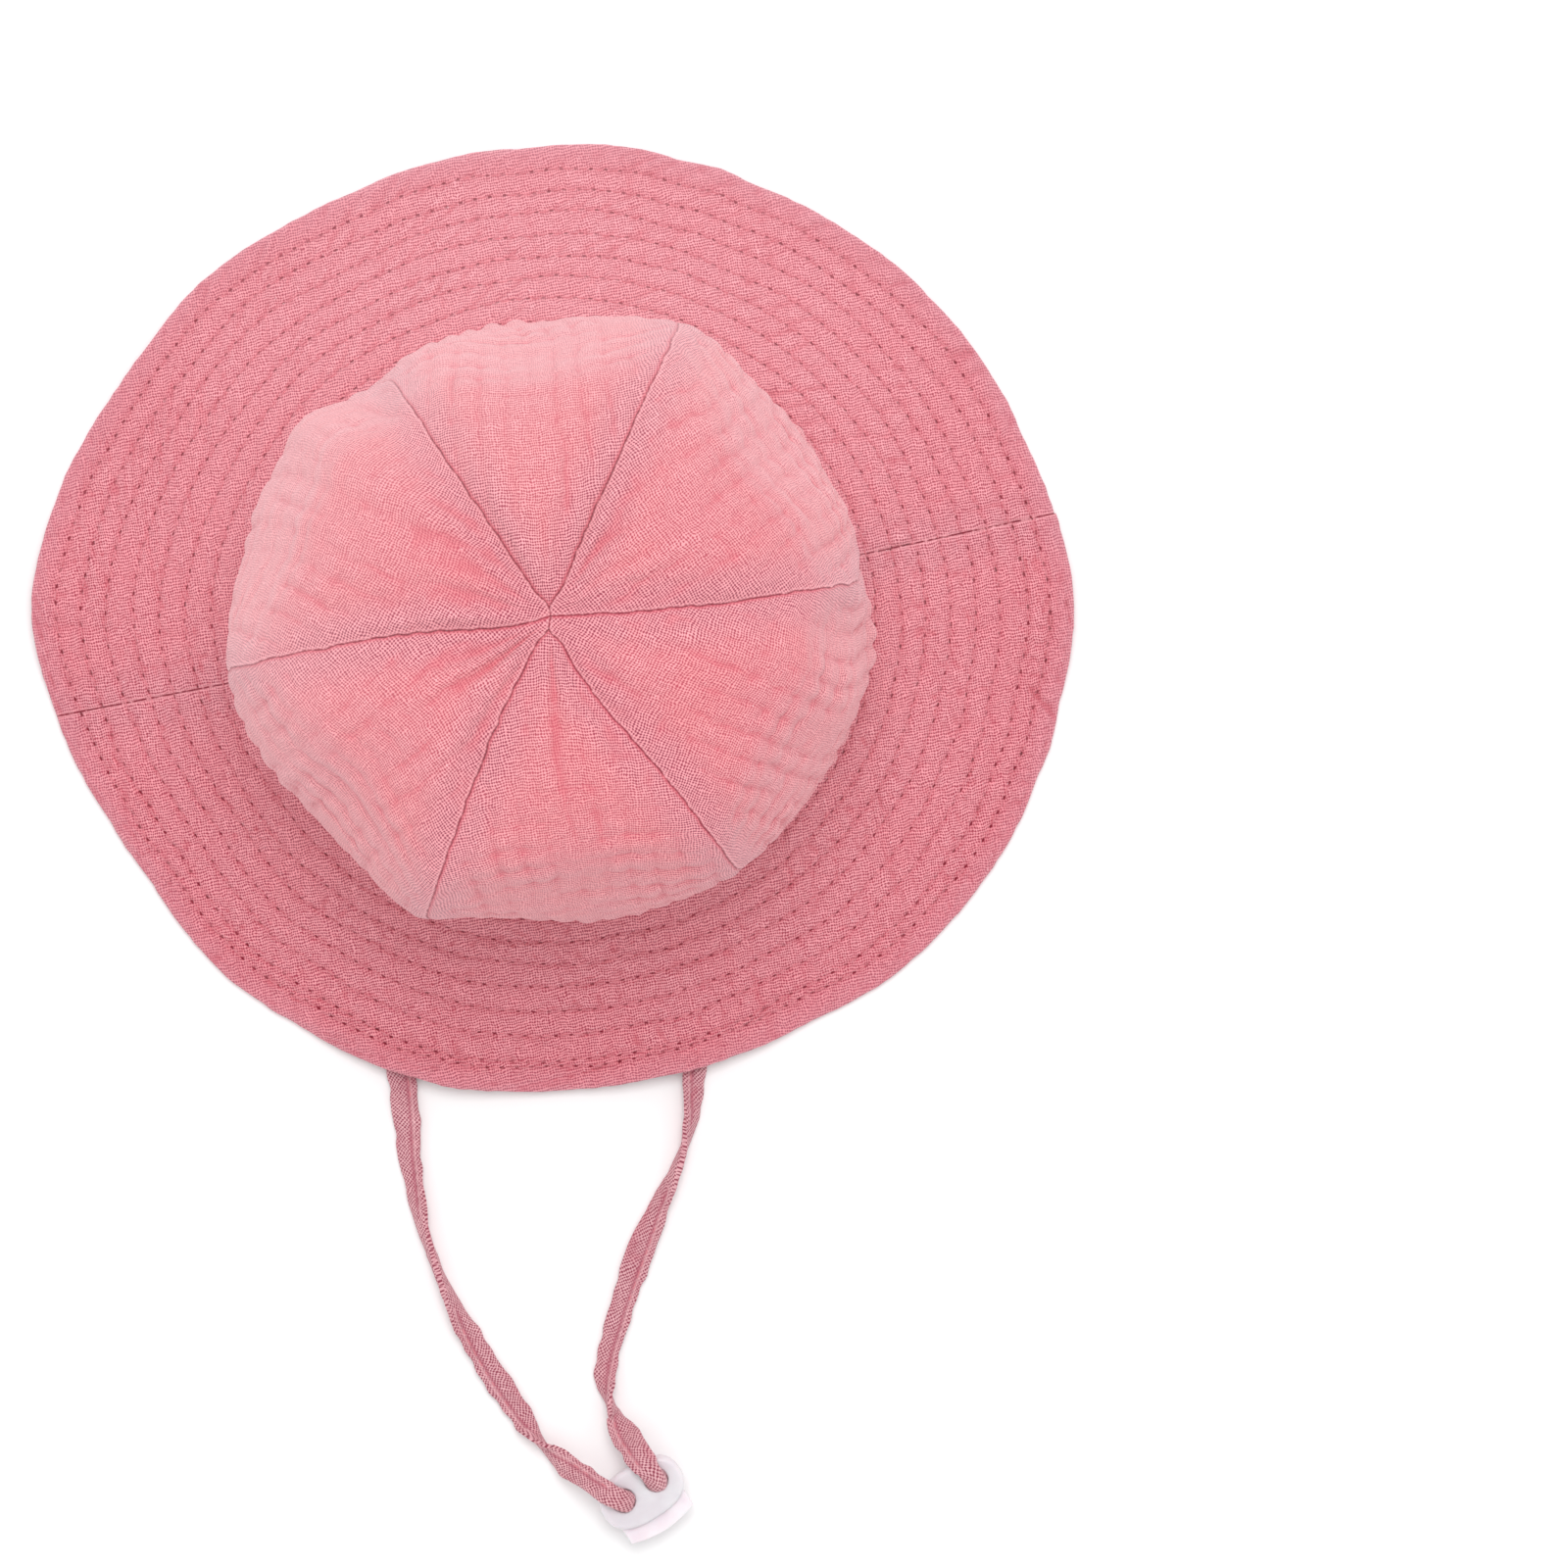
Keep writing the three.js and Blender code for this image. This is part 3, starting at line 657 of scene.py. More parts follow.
def crown_lift(panel, share, place, from_seam):
    """Direction in which a panel's relief stands: square to its steps across and up, but beside a seam
    square to the crown's levels, so that both panels there move alike and stay closed."""
    step = 1e-3
    top = len(CROWN_LEVELS) - 1
    right, left = np.maximum(share - step, 0), np.minimum(share + step, 1)
    across = crown_skin(panel, left, place) - crown_skin(panel, right, place)
    below, above = np.maximum(place - step, 0), np.minimum(place + step, top)
    climb = crown_skin(panel, share, above) - crown_skin(panel, share, below)
    below, above = np.maximum(place - 0.5, 0), np.minimum(place + 0.5, top)
    climbed = crown_level("height", above) - crown_level("height", below)
    drawn_in = crown_level("radius", below) - crown_level("radius", above)
    skin = crown_skin(panel, share, place)
    bearing = np.arctan2(skin[..., 1], skin[..., 0])
    level = np.stack([climbed * np.cos(bearing), climbed * np.sin(bearing), drawn_in], axis=-1)
    shared = bump(from_seam, 4)[..., None]
    return unit((1 - shared) * unit(np.cross(across, climb)) + shared * unit(level))


# The climb from the brim along a panel, in mm, at closely spaced places
CLIMB_PLACES = np.linspace(0, len(CROWN_LEVELS) - 1, 2400)
CLIMB_RISES = np.diff(crown_level("height", CLIMB_PLACES))
CLIMB_RUNS = np.diff(crown_level("radius", CLIMB_PLACES))
CLIMB = np.concatenate([[0], np.cumsum(np.hypot(CLIMB_RISES, CLIMB_RUNS))])


def panel_cloth(panel, share, place):
    """Where a point lies on the cut panel, in mm: across from its middle line, along from the brim, the
    distance to its nearest side seam, and the climb from the brim. Rows of weft are straight across the
    panel, so on the flat top they leave the circles round the apex by the versed sine of the angle from
    the middle line."""
    radius = crown_level("radius", place)
    turn = crown_level("turn", place)
    span = np.radians(seam_bearing(panel + 1, turn, radius) - seam_bearing(panel, turn, radius))
    climb = np.interp(place, CLIMB_PLACES, CLIMB)
    flat = share_between(crown_level("height", place), *FLAT_TOP_HEIGHTS)
    angle = (share - 0.5) * span
    across = radius * ((1 - flat) * angle + flat * np.sin(angle))
    along = climb + flat * radius * (1 - np.cos(angle))
    return across, along, np.minimum(share, 1 - share) * span * radius, climb


def lies_under(panel, share):
    """1 on a half of a panel whose edge lies under its neighbour's, 0 on a half whose edge lies on
    top."""
    return np.where(share < 0.5, PANEL_UNDER[panel][0], PANEL_UNDER[panel][1])


def seam_edges(panel, share, from_seam, climb):
    """What a panel's side seams add, in mm: the raised seam allowance beside each, less the groove at it,
    which every stitch tugs deeper by a cosine and which is deepest where the edge lies under its
    neighbour's."""
    under = lies_under(panel, share)
    seam = np.where(share < 0.5, panel, (panel + 1) % len(CROWN_SEAMS))
    tug = 0.75 + 0.25 * np.cos(2 * math.pi * climb / SEAM_STITCH + seam)
    groove = SEAM_DEPTH * tug * bump(from_seam, SEAM_SPREAD) * (0.3 + 0.7 * under)
    height = ALLOWANCE_HEIGHT * (1 - 0.6 * under)
    return height * bump(from_seam - ALLOWANCE_MIDDLE, ALLOWANCE_SPREAD) - groove


def crown_gathers(panel, share, place):
    """Gathers that fan out from the top, in mm: noise over the share of the panel, strongest at their
    radius, and faded out at the seams and at the apex."""
    seed = CROWN_SEED + SEEDS_PER_PANEL * panel
    across, along, from_seam, _ = panel_cloth(panel, share, place)
    radius = crown_level("radius", place)
    stray = 0.4 * soft_noise(across / 9, along / 9, seed + 8)
    fan = soft_noise(GATHERS_IN_A_PANEL * share + stray, along / 45, seed + 9)
    shown = bump(radius - GATHER_RADIUS, GATHER_RADIUS) * share_between(from_seam, 0, 3)
    return GATHER_DEPTH * fan * shown * (1 - bump(radius, 6))


def wall_slump(panel, share, climb):
    """Depth of the fold in which the crown's wall slumps, in mm: a hollow less a softer swell above it.
    Its height and its depth wander with noise read along a circle, so that the fold closes on itself
    round the crown."""
    bearing = np.radians(PANEL_SPAN * (panel + share))
    ring_x, ring_y = 4 * np.cos(bearing) + 9, 4 * np.sin(bearing) + 9
    over = climb - SLUMP_HEIGHT - SLUMP_WANDER * soft_noise(ring_x, ring_y, SLUMP_SEED)
    change = SLUMP_DEPTH_CHANGE * soft_noise(ring_x + 20, ring_y, SLUMP_SEED + 1)
    swell = SLUMP_SWELL * bump(over - SLUMP_SWELL_ABOVE, SLUMP_SWELL_SPREAD)
    return np.clip(SLUMP_DEPTH + change, *SLUMP_DEPTHS) * (bump(over, SLUMP_SPREAD) - swell)


def crown_relief(panel, share, place):
    """Height of the cloth over the skin, in mm, and the relief by which its colours paint shade in hollows
    and light on ridges: the crinkle, which is quiet on the top and held flat by the seams and the
    topstitch, the gathers, a slow billow, the slump, the seams' edges and the topstitch's groove."""
    seed = CROWN_SEED + SEEDS_PER_PANEL * panel
    across, along, from_seam, climb = panel_cloth(panel, share, place)
    radius = crown_level("radius", place)
    side = share_between(radius, *SHOULDER_RADII)
    wall = share_between(climb, *LOWER_WALL)
    taut = 1 - sum(share_held * bump(from_seam, spread) for share_held, spread in SEAM_HOLDS)
    quiet = TOP_CRINKLE + OUTER_CRINKLE * (share_between(radius, *MIDDLE_RADII) + side)
    calm = 1 - 0.7 * bump(climb - 1, 3.5)
    crinkle = gauze_crinkle(across, along, seed, 0.6 + 0.5 * side)
    ridged = CROWN_CRINKLE * quiet * taut * calm * (1 + 0.5 * wall) * crinkle
    gathers = crown_gathers(panel, share, place)
    billow = BILLOW_HEIGHT * soft_noise(across / 19, along / 23, seed + 10) * share_between(from_seam, 0, 8)
    slump = wall_slump(panel, share, climb)
    stitched = TOPSTITCH_DEPTH * bump(climb - TOPSTITCH_HEIGHT, TOPSTITCH_SPREAD) + 0.1 * bump(climb, 0.9)
    edges = seam_edges(panel, share, from_seam, climb)
    relief = ridged + gathers + billow - slump * calm + edges - stitched
    # Relief for the colours: painted shade in hollows of the crinkle and gathers and in the slump's fold,
    # painted light on ridges
    shown = crinkle * taut * (0.5 + 0.5 * quiet) * (1 + 0.4 * wall) + 0.7 * gathers - 0.6 * slump
    return relief, shown


def panel_grid(panel):
    """Share and place over a panel's grid: columns crowded to its seams, and rows evenly spread over the
    climb from the brim to its tip, with five more rows close to the topstitch."""
    seams = CROWN_SEAMS[panel], CROWN_SEAMS[(panel + 1) % len(CROWN_SEAMS)]
    tip_radius = seams[0]["tip_radius"] if seams[0]["tip"] == seams[1]["tip"] else 0
    radii = crown_level("radius", CLIMB_PLACES)
    reached = CLIMB_PLACES[np.argmax(radii < tip_radius + 0.12)]
    top = np.interp(reached, CLIMB_PLACES, CLIMB)
    climbs = np.union1d(np.linspace(0, top, PANEL_ROWS + 1), TOPSTITCH_HEIGHT + np.linspace(-0.5, 0.5, 5))
    return np.meshgrid(gathered(PANEL_COLUMNS, 0.55), np.interp(climbs, CLIMB, CLIMB_PLACES))


def crown_panel(panel, material):
    """One wedge panel: the skin raised by its relief, and an inner sheet a cloth's thickness below the
    skin that carries a softer copy of the relief."""
    share, place = panel_grid(panel)
    skin = crown_skin(panel, share, place)
    across, along, from_seam, climb = panel_cloth(panel, share, place)
    lift = crown_lift(panel, share, place, from_seam)
    relief, crinkle = crown_relief(panel, share, place)
    inside = np.clip(0.4 * relief, -0.5, 0.5) - CROWN_THICKNESS
    sheets = [skin + lift * relief[..., None], skin + lift * inside[..., None]]
    points = np.concatenate(sheets).reshape(-1, 3)
    # Painted light: paler towards one bearing, and growing from the top out to the shoulder and wall
    painted_light = light_and_lint_pale(PANEL_SPAN * (panel + share), CROWN_LIT_BEARING, 1)
    outer = np.clip(crown_level("radius", place) / SEAM_RADIUS, 0, 1)
    values = {
        "seam_mm": twice(from_seam),
        "under": twice(lies_under(panel, share) * 1.0),
        "row_mm": twice(np.abs(climb - TOPSTITCH_HEIGHT)),
        "stitch_turns": twice((panel + share) / len(CROWN_SEAMS) * crown_stitch_count()),
        # Relief for the colours' painted shade in hollows and painted light on ridges
        "crinkle": twice(crinkle),
        "painted_light": twice(painted_light * outer**2),
    }
    cloth = np.stack([twice(across + 200 * panel), twice(along)], axis=-1)
    faces = wall_faces(*share.shape)
    name = f"crown_panel_{panel + 1}"
    piece = make_piece(f"{name}_gauze", points, faces, material, "hat", cloth, values)
    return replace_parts(piece, name)


# Brim


def seam_radius(bearing):
    """Radius of the seam between the brim and the crown: the mean, made oval."""
    return SEAM_RADIUS + SEAM_OVAL * oval_share(bearing)


def rim_radius(bearing):
    """The rim's radius: the mean, made oval and folded, with the fine scallops of the crinkled hem."""
    arc = np.radians(bearing) * RIM_RADIUS
    scallop = 0.12 * soft_noise(arc / 2.4, 0, RIM_SEED) + 0.42 * soft_noise(arc / 11, 0, RIM_SEED + 1)
    return RIM_RADIUS + RIM_OVAL * oval_share(bearing) + fold_sum(bearing, RIM_FOLDS, 1) + scallop


def brim_width(bearing):
    """From the rim to the crown's inner face."""
    return rim_radius(bearing) - seam_radius(bearing) + CROWN_THICKNESS


def row_distance(bearing, row):
    """Distance of a stitch row from the rim: the hem, then even steps to the crown seam. On the front the
    rows spiral towards the hem, so the second one nearly doubles the first, and each row wanders a
    little."""
    even = HEM_WIDTH + (row - 1) / STITCH_ROWS * (brim_width(bearing) - HEM_WIDTH)
    front = bump(angle_from(bearing, CROWDED_BEARING), CROWDED_SPREAD)
    crowd = np.where(row >= 2, ROW_CROWDING * np.exp(-(row - 2) / CROWDED_ROWS), 0) * front
    arc = np.radians(bearing) * (RIM_RADIUS - even)
    sewn = (row >= 1) & (row <= STITCH_ROWS)
    wander = np.where(sewn, ROW_WANDER * soft_noise(arc / 13, row * 3.7, ROW_SEED), 0)
    return np.where(row < 1, 0, even - crowd + wander)


def brim_distance(bearing, stop):
    """Distance from the rim at a stop, and the spacing of the rows there. Stops count rows of stitching:
    0 is the rim, 9 the crown seam, and the distance runs straight from row to row."""
    row = np.clip(np.floor(stop), 0, STITCH_ROWS)
    before, after = row_distance(bearing, row), row_distance(bearing, row + 1)
    return before + (stop - row) * (after - before), after - before


def brim_bed(bearing, distance):
    """Underside of the brim: flat along the rim, then rising to the crown seam, and lifted by the rim's
    folds."""
    share = distance / brim_width(bearing)
    rise = np.maximum(0, (share - FLAT_SHARE) / (1 - FLAT_SHARE)) ** BRIM_CURVE
    lift = np.maximum(0, fold_sum(bearing, RIM_FOLDS, 3) - REST_MARGIN)
    return lift * (1 - share) ** 2 + (SEAM_HEIGHT - BRIM_THICKNESS) * rise


def row_count(row):
    """Stitches in a row, all the way round."""
    return np.round(2 * math.pi * (RIM_RADIUS - HEM_WIDTH - MEAN_ROW_SPACING * (row - 1)) / STITCH_LENGTH)


def brim_quilting(bearing, stop):
    """Swell between the rows less the pull at each needle hole, in mm, then the distance to the nearest
    row and the place along it in stitches. The swell is one minus a power of the distance from the
    channel's middle."""
    distance, spacing = brim_distance(bearing, stop)
    row = np.clip(np.round(stop), 1, STITCH_ROWS)
    from_row = np.abs(distance - row_distance(bearing, row))
    from_middle = np.abs(2 * (stop - np.floor(stop)) - 1)
    quilted = (stop > 1) & (stop < STITCH_ROWS + 1)
    swell = QUILT_SWELL * np.where(quilted, 1 - from_middle**QUILT_POWER, 0)
    swell = swell * share_between(spacing, 0, QUILT_SPACING)
    turns = bearing / 360 * row_count(row) + ROW_STAGGER * row
    pull = QUILT_PULL * (0.5 + 0.5 * np.cos(2 * math.pi * turns)) * bump(from_row, PULL_SPREAD)
    return swell - pull, from_row, turns


def brim_tucks(arc, stop):
    """Tucks that the stitching draws across each channel, about -1 to 1: pleats along the arc that stray
    from row to row, come and go, and fade at the rows."""
    between = stop - np.floor(stop)
    channel = np.clip(np.floor(stop), 0, STITCH_ROWS)
    stray = 2.6 * soft_noise(arc / 17, channel * 0.8, BRIM_SEED + 5)
    stray = stray + 1.4 * soft_noise(arc / 7, stop * 1.3, BRIM_SEED + 6)
    drawn_up = np.clip(0.7 + 1.1 * soft_noise(arc / 12, channel * 2.7 + 0.5, BRIM_SEED + 7), 0.1, 1.4)
    filled = np.clip(4 * between * (1 - between) + 0.35, 0, 1)
    return drawn_up * (pleat((arc + stray) / TUCK_PITCH, 0.8) - 0.7) * filled


def brim_creases(bearing, distance, radius):
    """Depth of the short creases, in mm: each a bump across a slanting line that starts at the rim and
    fades."""
    depths = np.zeros_like(bearing)
    for at, ends, slant, depth, spread in BRIM_CREASES:
        away = angle_from(bearing, at + slant * distance / ends)
        fade = np.clip((ends - distance) / (0.6 * ends), 0, 1)
        depths = depths + depth * fade * bump(np.radians(away) * radius, spread)
    return depths


def brim_relief(bearing, stop):
    """What the top of the brim adds to an even thickness, in mm: quilting, puckers and tucks across the
    rows, slanting ripples on the hem, the gauze's crinkle, a slow billow, short creases and the seams'
    grooves. Then the relief by which the colours paint shade in hollows and creases and light on ridges,
    the distance to the nearest row and the place along it, and the distance to the nearest seam."""
    distance, _ = brim_distance(bearing, stop)
    radius = rim_radius(bearing) - distance
    arc = np.radians(bearing) * radius
    x, y = radius * np.cos(np.radians(bearing)), radius * np.sin(np.radians(bearing))
    quilting, from_row, turns = brim_quilting(bearing, stop)
    crinkle = gauze_crinkle(x, y, BRIM_SEED)
    puckers = soft_noise(arc / 2.6, stop * 1.1, BRIM_SEED + 1)
    puckers = puckers + 0.6 * soft_noise(arc / 4.4 + 0.5 * stop, stop * 0.8, BRIM_SEED + 2)
    tucks = brim_tucks(arc, stop)
    hem = np.clip(1 - stop, 0, 1) ** 0.5
    ripples = hem * soft_noise((arc + 1.1 * distance) / 2.1, distance / 9, BRIM_SEED + 3)
    billow = BRIM_BILLOW * soft_noise(x / 24, y / 24, BRIM_SEED + 4)
    creases = brim_creases(bearing, distance, radius)
    from_seam = seam_distance(bearing) * radius
    groove = GROOVE_DEPTH * bump(from_seam, GROOVE_SPREAD)
    welts = WELT_HEIGHT * bump(from_seam - WELT_MIDDLE, WELT_SPREAD)
    detail = PUCKER_HEIGHT * puckers * (1 - 0.6 * hem) + TUCK_DEPTH * tucks + RIPPLE_HEIGHT * ripples
    detail = detail + BRIM_CRINKLE * crinkle + billow - creases
    relief = quilting + share_between(distance, 0, 2) * detail - groove + welts
    # Relief for the colours: painted shade in hollows, tucks and creases, painted light on ridges
    shown = 0.55 * crinkle + 0.9 * tucks - 0.8 * creases + 0.5 * ripples
    return relief, shown, from_row, turns, from_seam


def seam_distance(bearing):
    """Angle in radians to the nearer of the brim's two seams."""
    away = [np.abs(angle_from(bearing, seam)) for seam in BRIM_SEAMS]
    return np.radians(np.minimum(*away))


def hem_fullness(distance):
    """Share of its full thickness that the brim has at a distance from the rim: a quarter circle, whose
    rim is left just open."""
    inward = np.clip(distance / HEM_ROUNDING, 0, 1)
    return np.sqrt(1 - 0.985 * (1 - inward) ** 2)


def brim_point(bearing, distance, height):
    """Points of the brim at a bearing, a distance from the rim and a height."""
    radius = rim_radius(bearing) - distance
    x, y = radius * np.cos(np.radians(bearing)), radius * np.sin(np.radians(bearing))
    return np.stack([x, y, height], axis=-1)


def brim_top(bearing, stop):
    """A point of the brim's top: the bed, the cloth's thickness, rounded at the rim, and the relief."""
    distance, _ = brim_distance(bearing, stop)
    fullness = hem_fullness(distance)
    half = BRIM_THICKNESS / 2
    relief = brim_relief(bearing, stop)[0]
    return brim_point(bearing, distance, brim_bed(bearing, distance) + half + (half + relief) * fullness)


def brim_under(bearing, stop):
    """A point of the brim's underside: the bed, rounded up at the rim and drawn in at the rows."""
    distance, _ = brim_distance(bearing, stop)
    fullness = hem_fullness(distance)
    half = BRIM_THICKNESS / 2
    drawn_in = 0.35 * bump(brim_quilting(bearing, stop)[1], 0.7)
    return brim_point(bearing, distance, brim_bed(bearing, distance) + half - (half - drawn_in) * fullness)


def brim_half(name, start, end, material):
    """Half of the brim between its two seams, its columns crowded to the seams and its rows to the
    stitching."""
    hem_stops = np.array([0, 0.012, 0.045, 0.09, 0.15, 0.22, 0.32, 0.46, 0.6, 0.74, 0.86, 0.94])
    channel = np.array([0, 0.07, 0.16, 0.31, 0.5, 0.69, 0.84, 0.93])
    channels = [row + channel for row in range(1, STITCH_ROWS + 1)]
    stops = np.concatenate([hem_stops, *channels, [STITCH_ROWS + 1.0]])
    clear = np.degrees(SEAM_SLIT / 2 / SEAM_RADIUS)
    bearings = start + clear + (end - start - 2 * clear) * gathered(BRIM_COLUMNS, 0.6)
    bearing, stop = np.meshgrid(bearings, stops)
    points = np.concatenate([brim_top(bearing, stop), brim_under(bearing, stop)]).reshape(-1, 3)
    _, crinkle, from_row, turns, from_seam = brim_relief(bearing, stop)
    values = {
        "seam_mm": twice(from_seam),
        "row_mm": twice(from_row * np.where(stop < 2.5, 0.75, 1.0)),
        "stitch_turns": twice(turns),
        # Relief for the colours' painted shade in hollows and painted light on ridges
        "crinkle": twice(crinkle),
        "hem": twice(np.clip(1.15 - stop, 0, 1)),
        # Painted light: paler towards one bearing, and a little paler towards the crown seam to lift the
        # shade there
        "painted_light": twice(0.7 * light_and_lint_pale(bearing, BRIM_LIT_BEARING, 3) + 0.04 * np.clip(stop - 3, 0, 6)),
    }
    cloth, faces = points[:, :2], wall_faces(*stop.shape)
    piece = make_piece(f"{name}_gauze", points, faces, material, "hat", cloth, values)
    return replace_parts(piece, name)


def crown_stitch_count():
    """Stitches of the crown's topstitching, the same number on each panel."""
    panels = len(CROWN_SEAMS)
    return panels * round(2 * math.pi * SEAM_RADIUS / STITCH_LENGTH / panels)


# Stitches


def stitch_tubes(centre, outward, lift, radius):
    """Thread tubes for many stitches at once: centre is (stitches, steps, 3), each tube lifted outward
    from the cloth and as thick as `radius` says at each step, with closed ends."""
    count, steps, _ = centre.shape
    along = unit(np.gradient(centre, axis=1))
    side = unit(np.cross(outward, along))
    over = np.cross(along, side)
    turn = np.linspace(0, 2 * math.pi, THREAD_SIDES, endpoint=False)
    ring = np.cos(turn)[:, None] * side[:, :, None] + np.sin(turn)[:, None] * over[:, :, None]
    middle = centre + over * lift[:, None]
    points = middle[:, :, None] + ring * radius[:, None, None]
    one = np.concatenate([tube_faces(steps, THREAD_SIDES), end_faces(steps, THREAD_SIDES)])
    faces = one[None] + (np.arange(count) * steps * THREAD_SIDES)[:, None, None]
    return points.reshape(-1, 3), faces.reshape(-1, 4)


def stitch_profile():
    """Lift and thickness along one stitch, in mm: it arches out of one hole and back into the next by a
    sine, and thins at its ends."""
    t = np.linspace(0, 1, STITCH_STEPS)
    lift = STITCH_DIP + STITCH_ARCH * np.sin(math.pi * t) ** 0.6
    return lift, THREAD_RADIUS * np.clip(4 * np.minimum(t, 1 - t) + 0.25, 0.25, 1)


def stitch_turns(count, first=0.0):
    """Where each of a row's stitches runs, in stitches along the row: from just past one hole to just
    before the next."""
    return np.arange(count)[:, None] + first + np.linspace(*STITCH_SHOWN, STITCH_STEPS)[None, :]


def brim_stitches(material):
    """The threads of the brim's rows, from needle hole to needle hole along each row."""
    lift, radius = stitch_profile()
    centres = []
    for row in range(1, STITCH_ROWS + 1):
        count = int(row_count(row))
        turns = stitch_turns(count, -((ROW_STAGGER * row) % 1))
        centres.append(brim_top(turns / count * 360, np.full(turns.shape, float(row))))
    centre = np.concatenate(centres)
    outward = np.broadcast_to(np.array([0.0, 0, 1]), centre.shape)
    points, faces = stitch_tubes(centre, outward, lift, radius)
    return make_piece("brim_stitches", points, faces, material, "hat")


def crown_stitches(material):
    """The topstitching round the foot of the crown, panel by panel, standing out square to the wall."""
    lift, radius = stitch_profile()
    each = crown_stitch_count() // len(CROWN_SEAMS)
    foot = np.interp(TOPSTITCH_HEIGHT, CLIMB, CLIMB_PLACES)
    centres, outwards = [], []
    for panel in range(len(CROWN_SEAMS)):
        share = stitch_turns(each) / each
        place = np.full(share.shape, foot)
        outward = crown_lift(panel, share, place, panel_cloth(panel, share, place)[2])
        relief = crown_relief(panel, share, place)[0]
        centres.append(crown_skin(panel, share, place) + outward * relief[..., None])
        outwards.append(outward)
    points, faces = stitch_tubes(np.concatenate(centres), np.concatenate(outwards), lift, radius)
    return make_piece("crown_stitches", points, faces, material, "hat")


def at_lengths(lengths, arc, values):
    """Points or directions along the strap, at given lengths from its left end."""
    return np.stack([np.interp(lengths, arc, values[:, k]) for k in range(3)], axis=-1)


def strap_stitches(material):
    """The threads along the strap's seam, on both of its faces, where it lies flat."""
    arc, line, side, over, wide, thick = strap_frame()
    lift, radius = stitch_profile()
    lengths = stitch_turns(int(arc[-1] / STRAP_STITCH)) * STRAP_STITCH
    lengths = lengths[np.interp(lengths.mean(axis=1), arc, wide) > STRAP_FLAT_WIDTH]
    centre, across, outward = (at_lengths(lengths, arc, values) for values in (line, side, over))
    reach = np.interp(lengths, arc, STRAP_SEAM * wide)[..., None]
    crease = thick / 2 * strap_fullness(2 * STRAP_SEAM) - STRAP_CREASE
    depth = np.interp(lengths, arc, crease)[..., None]
    both_faces = np.concatenate([centre + across * reach + sign * outward * depth for sign in (1, -1)])
    outwards = np.concatenate([outward, -outward])
    points, faces = stitch_tubes(both_faces, outwards, 0.5 * lift + 0.05, 0.8 * radius)
    return make_piece("strap_stitches", points, faces, material, "hat")


# Strap


def root_distance(start, end):
    """Square root of the distance between points."""
    return np.linalg.norm(end - start, axis=-1, keepdims=True) ** 0.5


def strap_line():
    """The strap's centre line in mm: a centripetal curve through the route's points, whose pace between
    two points goes with the square root of their distance."""
    points = np.array([row[:3] for row in STRAP_ROUTE]) / MM
    ends = np.concatenate([[2 * points[0] - points[1]], points, [2 * points[-1] - points[-2]]])
    a, b, c, d = (ends[k : len(points) - 1 + k][:, None] for k in range(4))
    before, here, after = root_distance(a, b), root_distance(b, c), root_distance(c, d)
    leave = ((b - a) / before - (c - a) / (before + here) + (c - b) / here) * here
    reach = ((c - b) / here - (d - b) / (here + after) + (d - c) / after) * here
    t = (np.arange(STRAP_STEPS_PER_POINT) / STRAP_STEPS_PER_POINT)[None, :, None]
    curve = b + leave * t + (3 * (c - b) - 2 * leave - reach) * t**2 + (2 * (b - c) + leave + reach) * t**3
    return np.concatenate([curve.reshape(-1, 3), points[-1:]])


def strap_frame():
    """The strap's run: its length so far, centre line, the directions of its width and of its upper face,
    and its width and thickness, rolled over where it twists and kept clear of the ground."""
    line = strap_line()
    place = np.arange(len(line)) / STRAP_STEPS_PER_POINT
    columns = np.array([row[3:] for row in STRAP_ROUTE], float)
    bearing, wide, thick, roll = (through(columns[:, k], place) for k in range(4))
    turn_over = np.radians(roll)
    arc = np.concatenate([[0], np.cumsum(np.linalg.norm(np.diff(line, axis=0), axis=1))])
    wide = wide + STRAP_WIDTH_CHANGE * soft_noise(arc / 9, 0, STRAP_SEED) * (wide > STRAP_LOOSE_WIDTH)
    tall = np.hypot(wide / 2 * np.sin(turn_over), thick / 2 * np.cos(turn_over)) + GROUND_CLEARANCE
    line[:, 2] = np.maximum(line[:, 2], tall)
    along = unit(np.gradient(line, axis=0))
    flat = np.stack([np.cos(np.radians(bearing)), np.sin(np.radians(bearing)), bearing * 0], axis=-1)
    flat = unit(flat - along * np.sum(flat * along, axis=1, keepdims=True))
    up = np.cross(along, flat)
    side = flat * np.cos(turn_over)[:, None] + up * np.sin(turn_over)[:, None]
    return arc, line, side, np.cross(along, side), wide, thick


def strap_fullness(reach):
    """How thick the strap's section is at a share of its half width: a squared ellipse."""
    return (1 - np.abs(reach) ** (2 / STRAP_CORNER)) ** (STRAP_CORNER / 2)


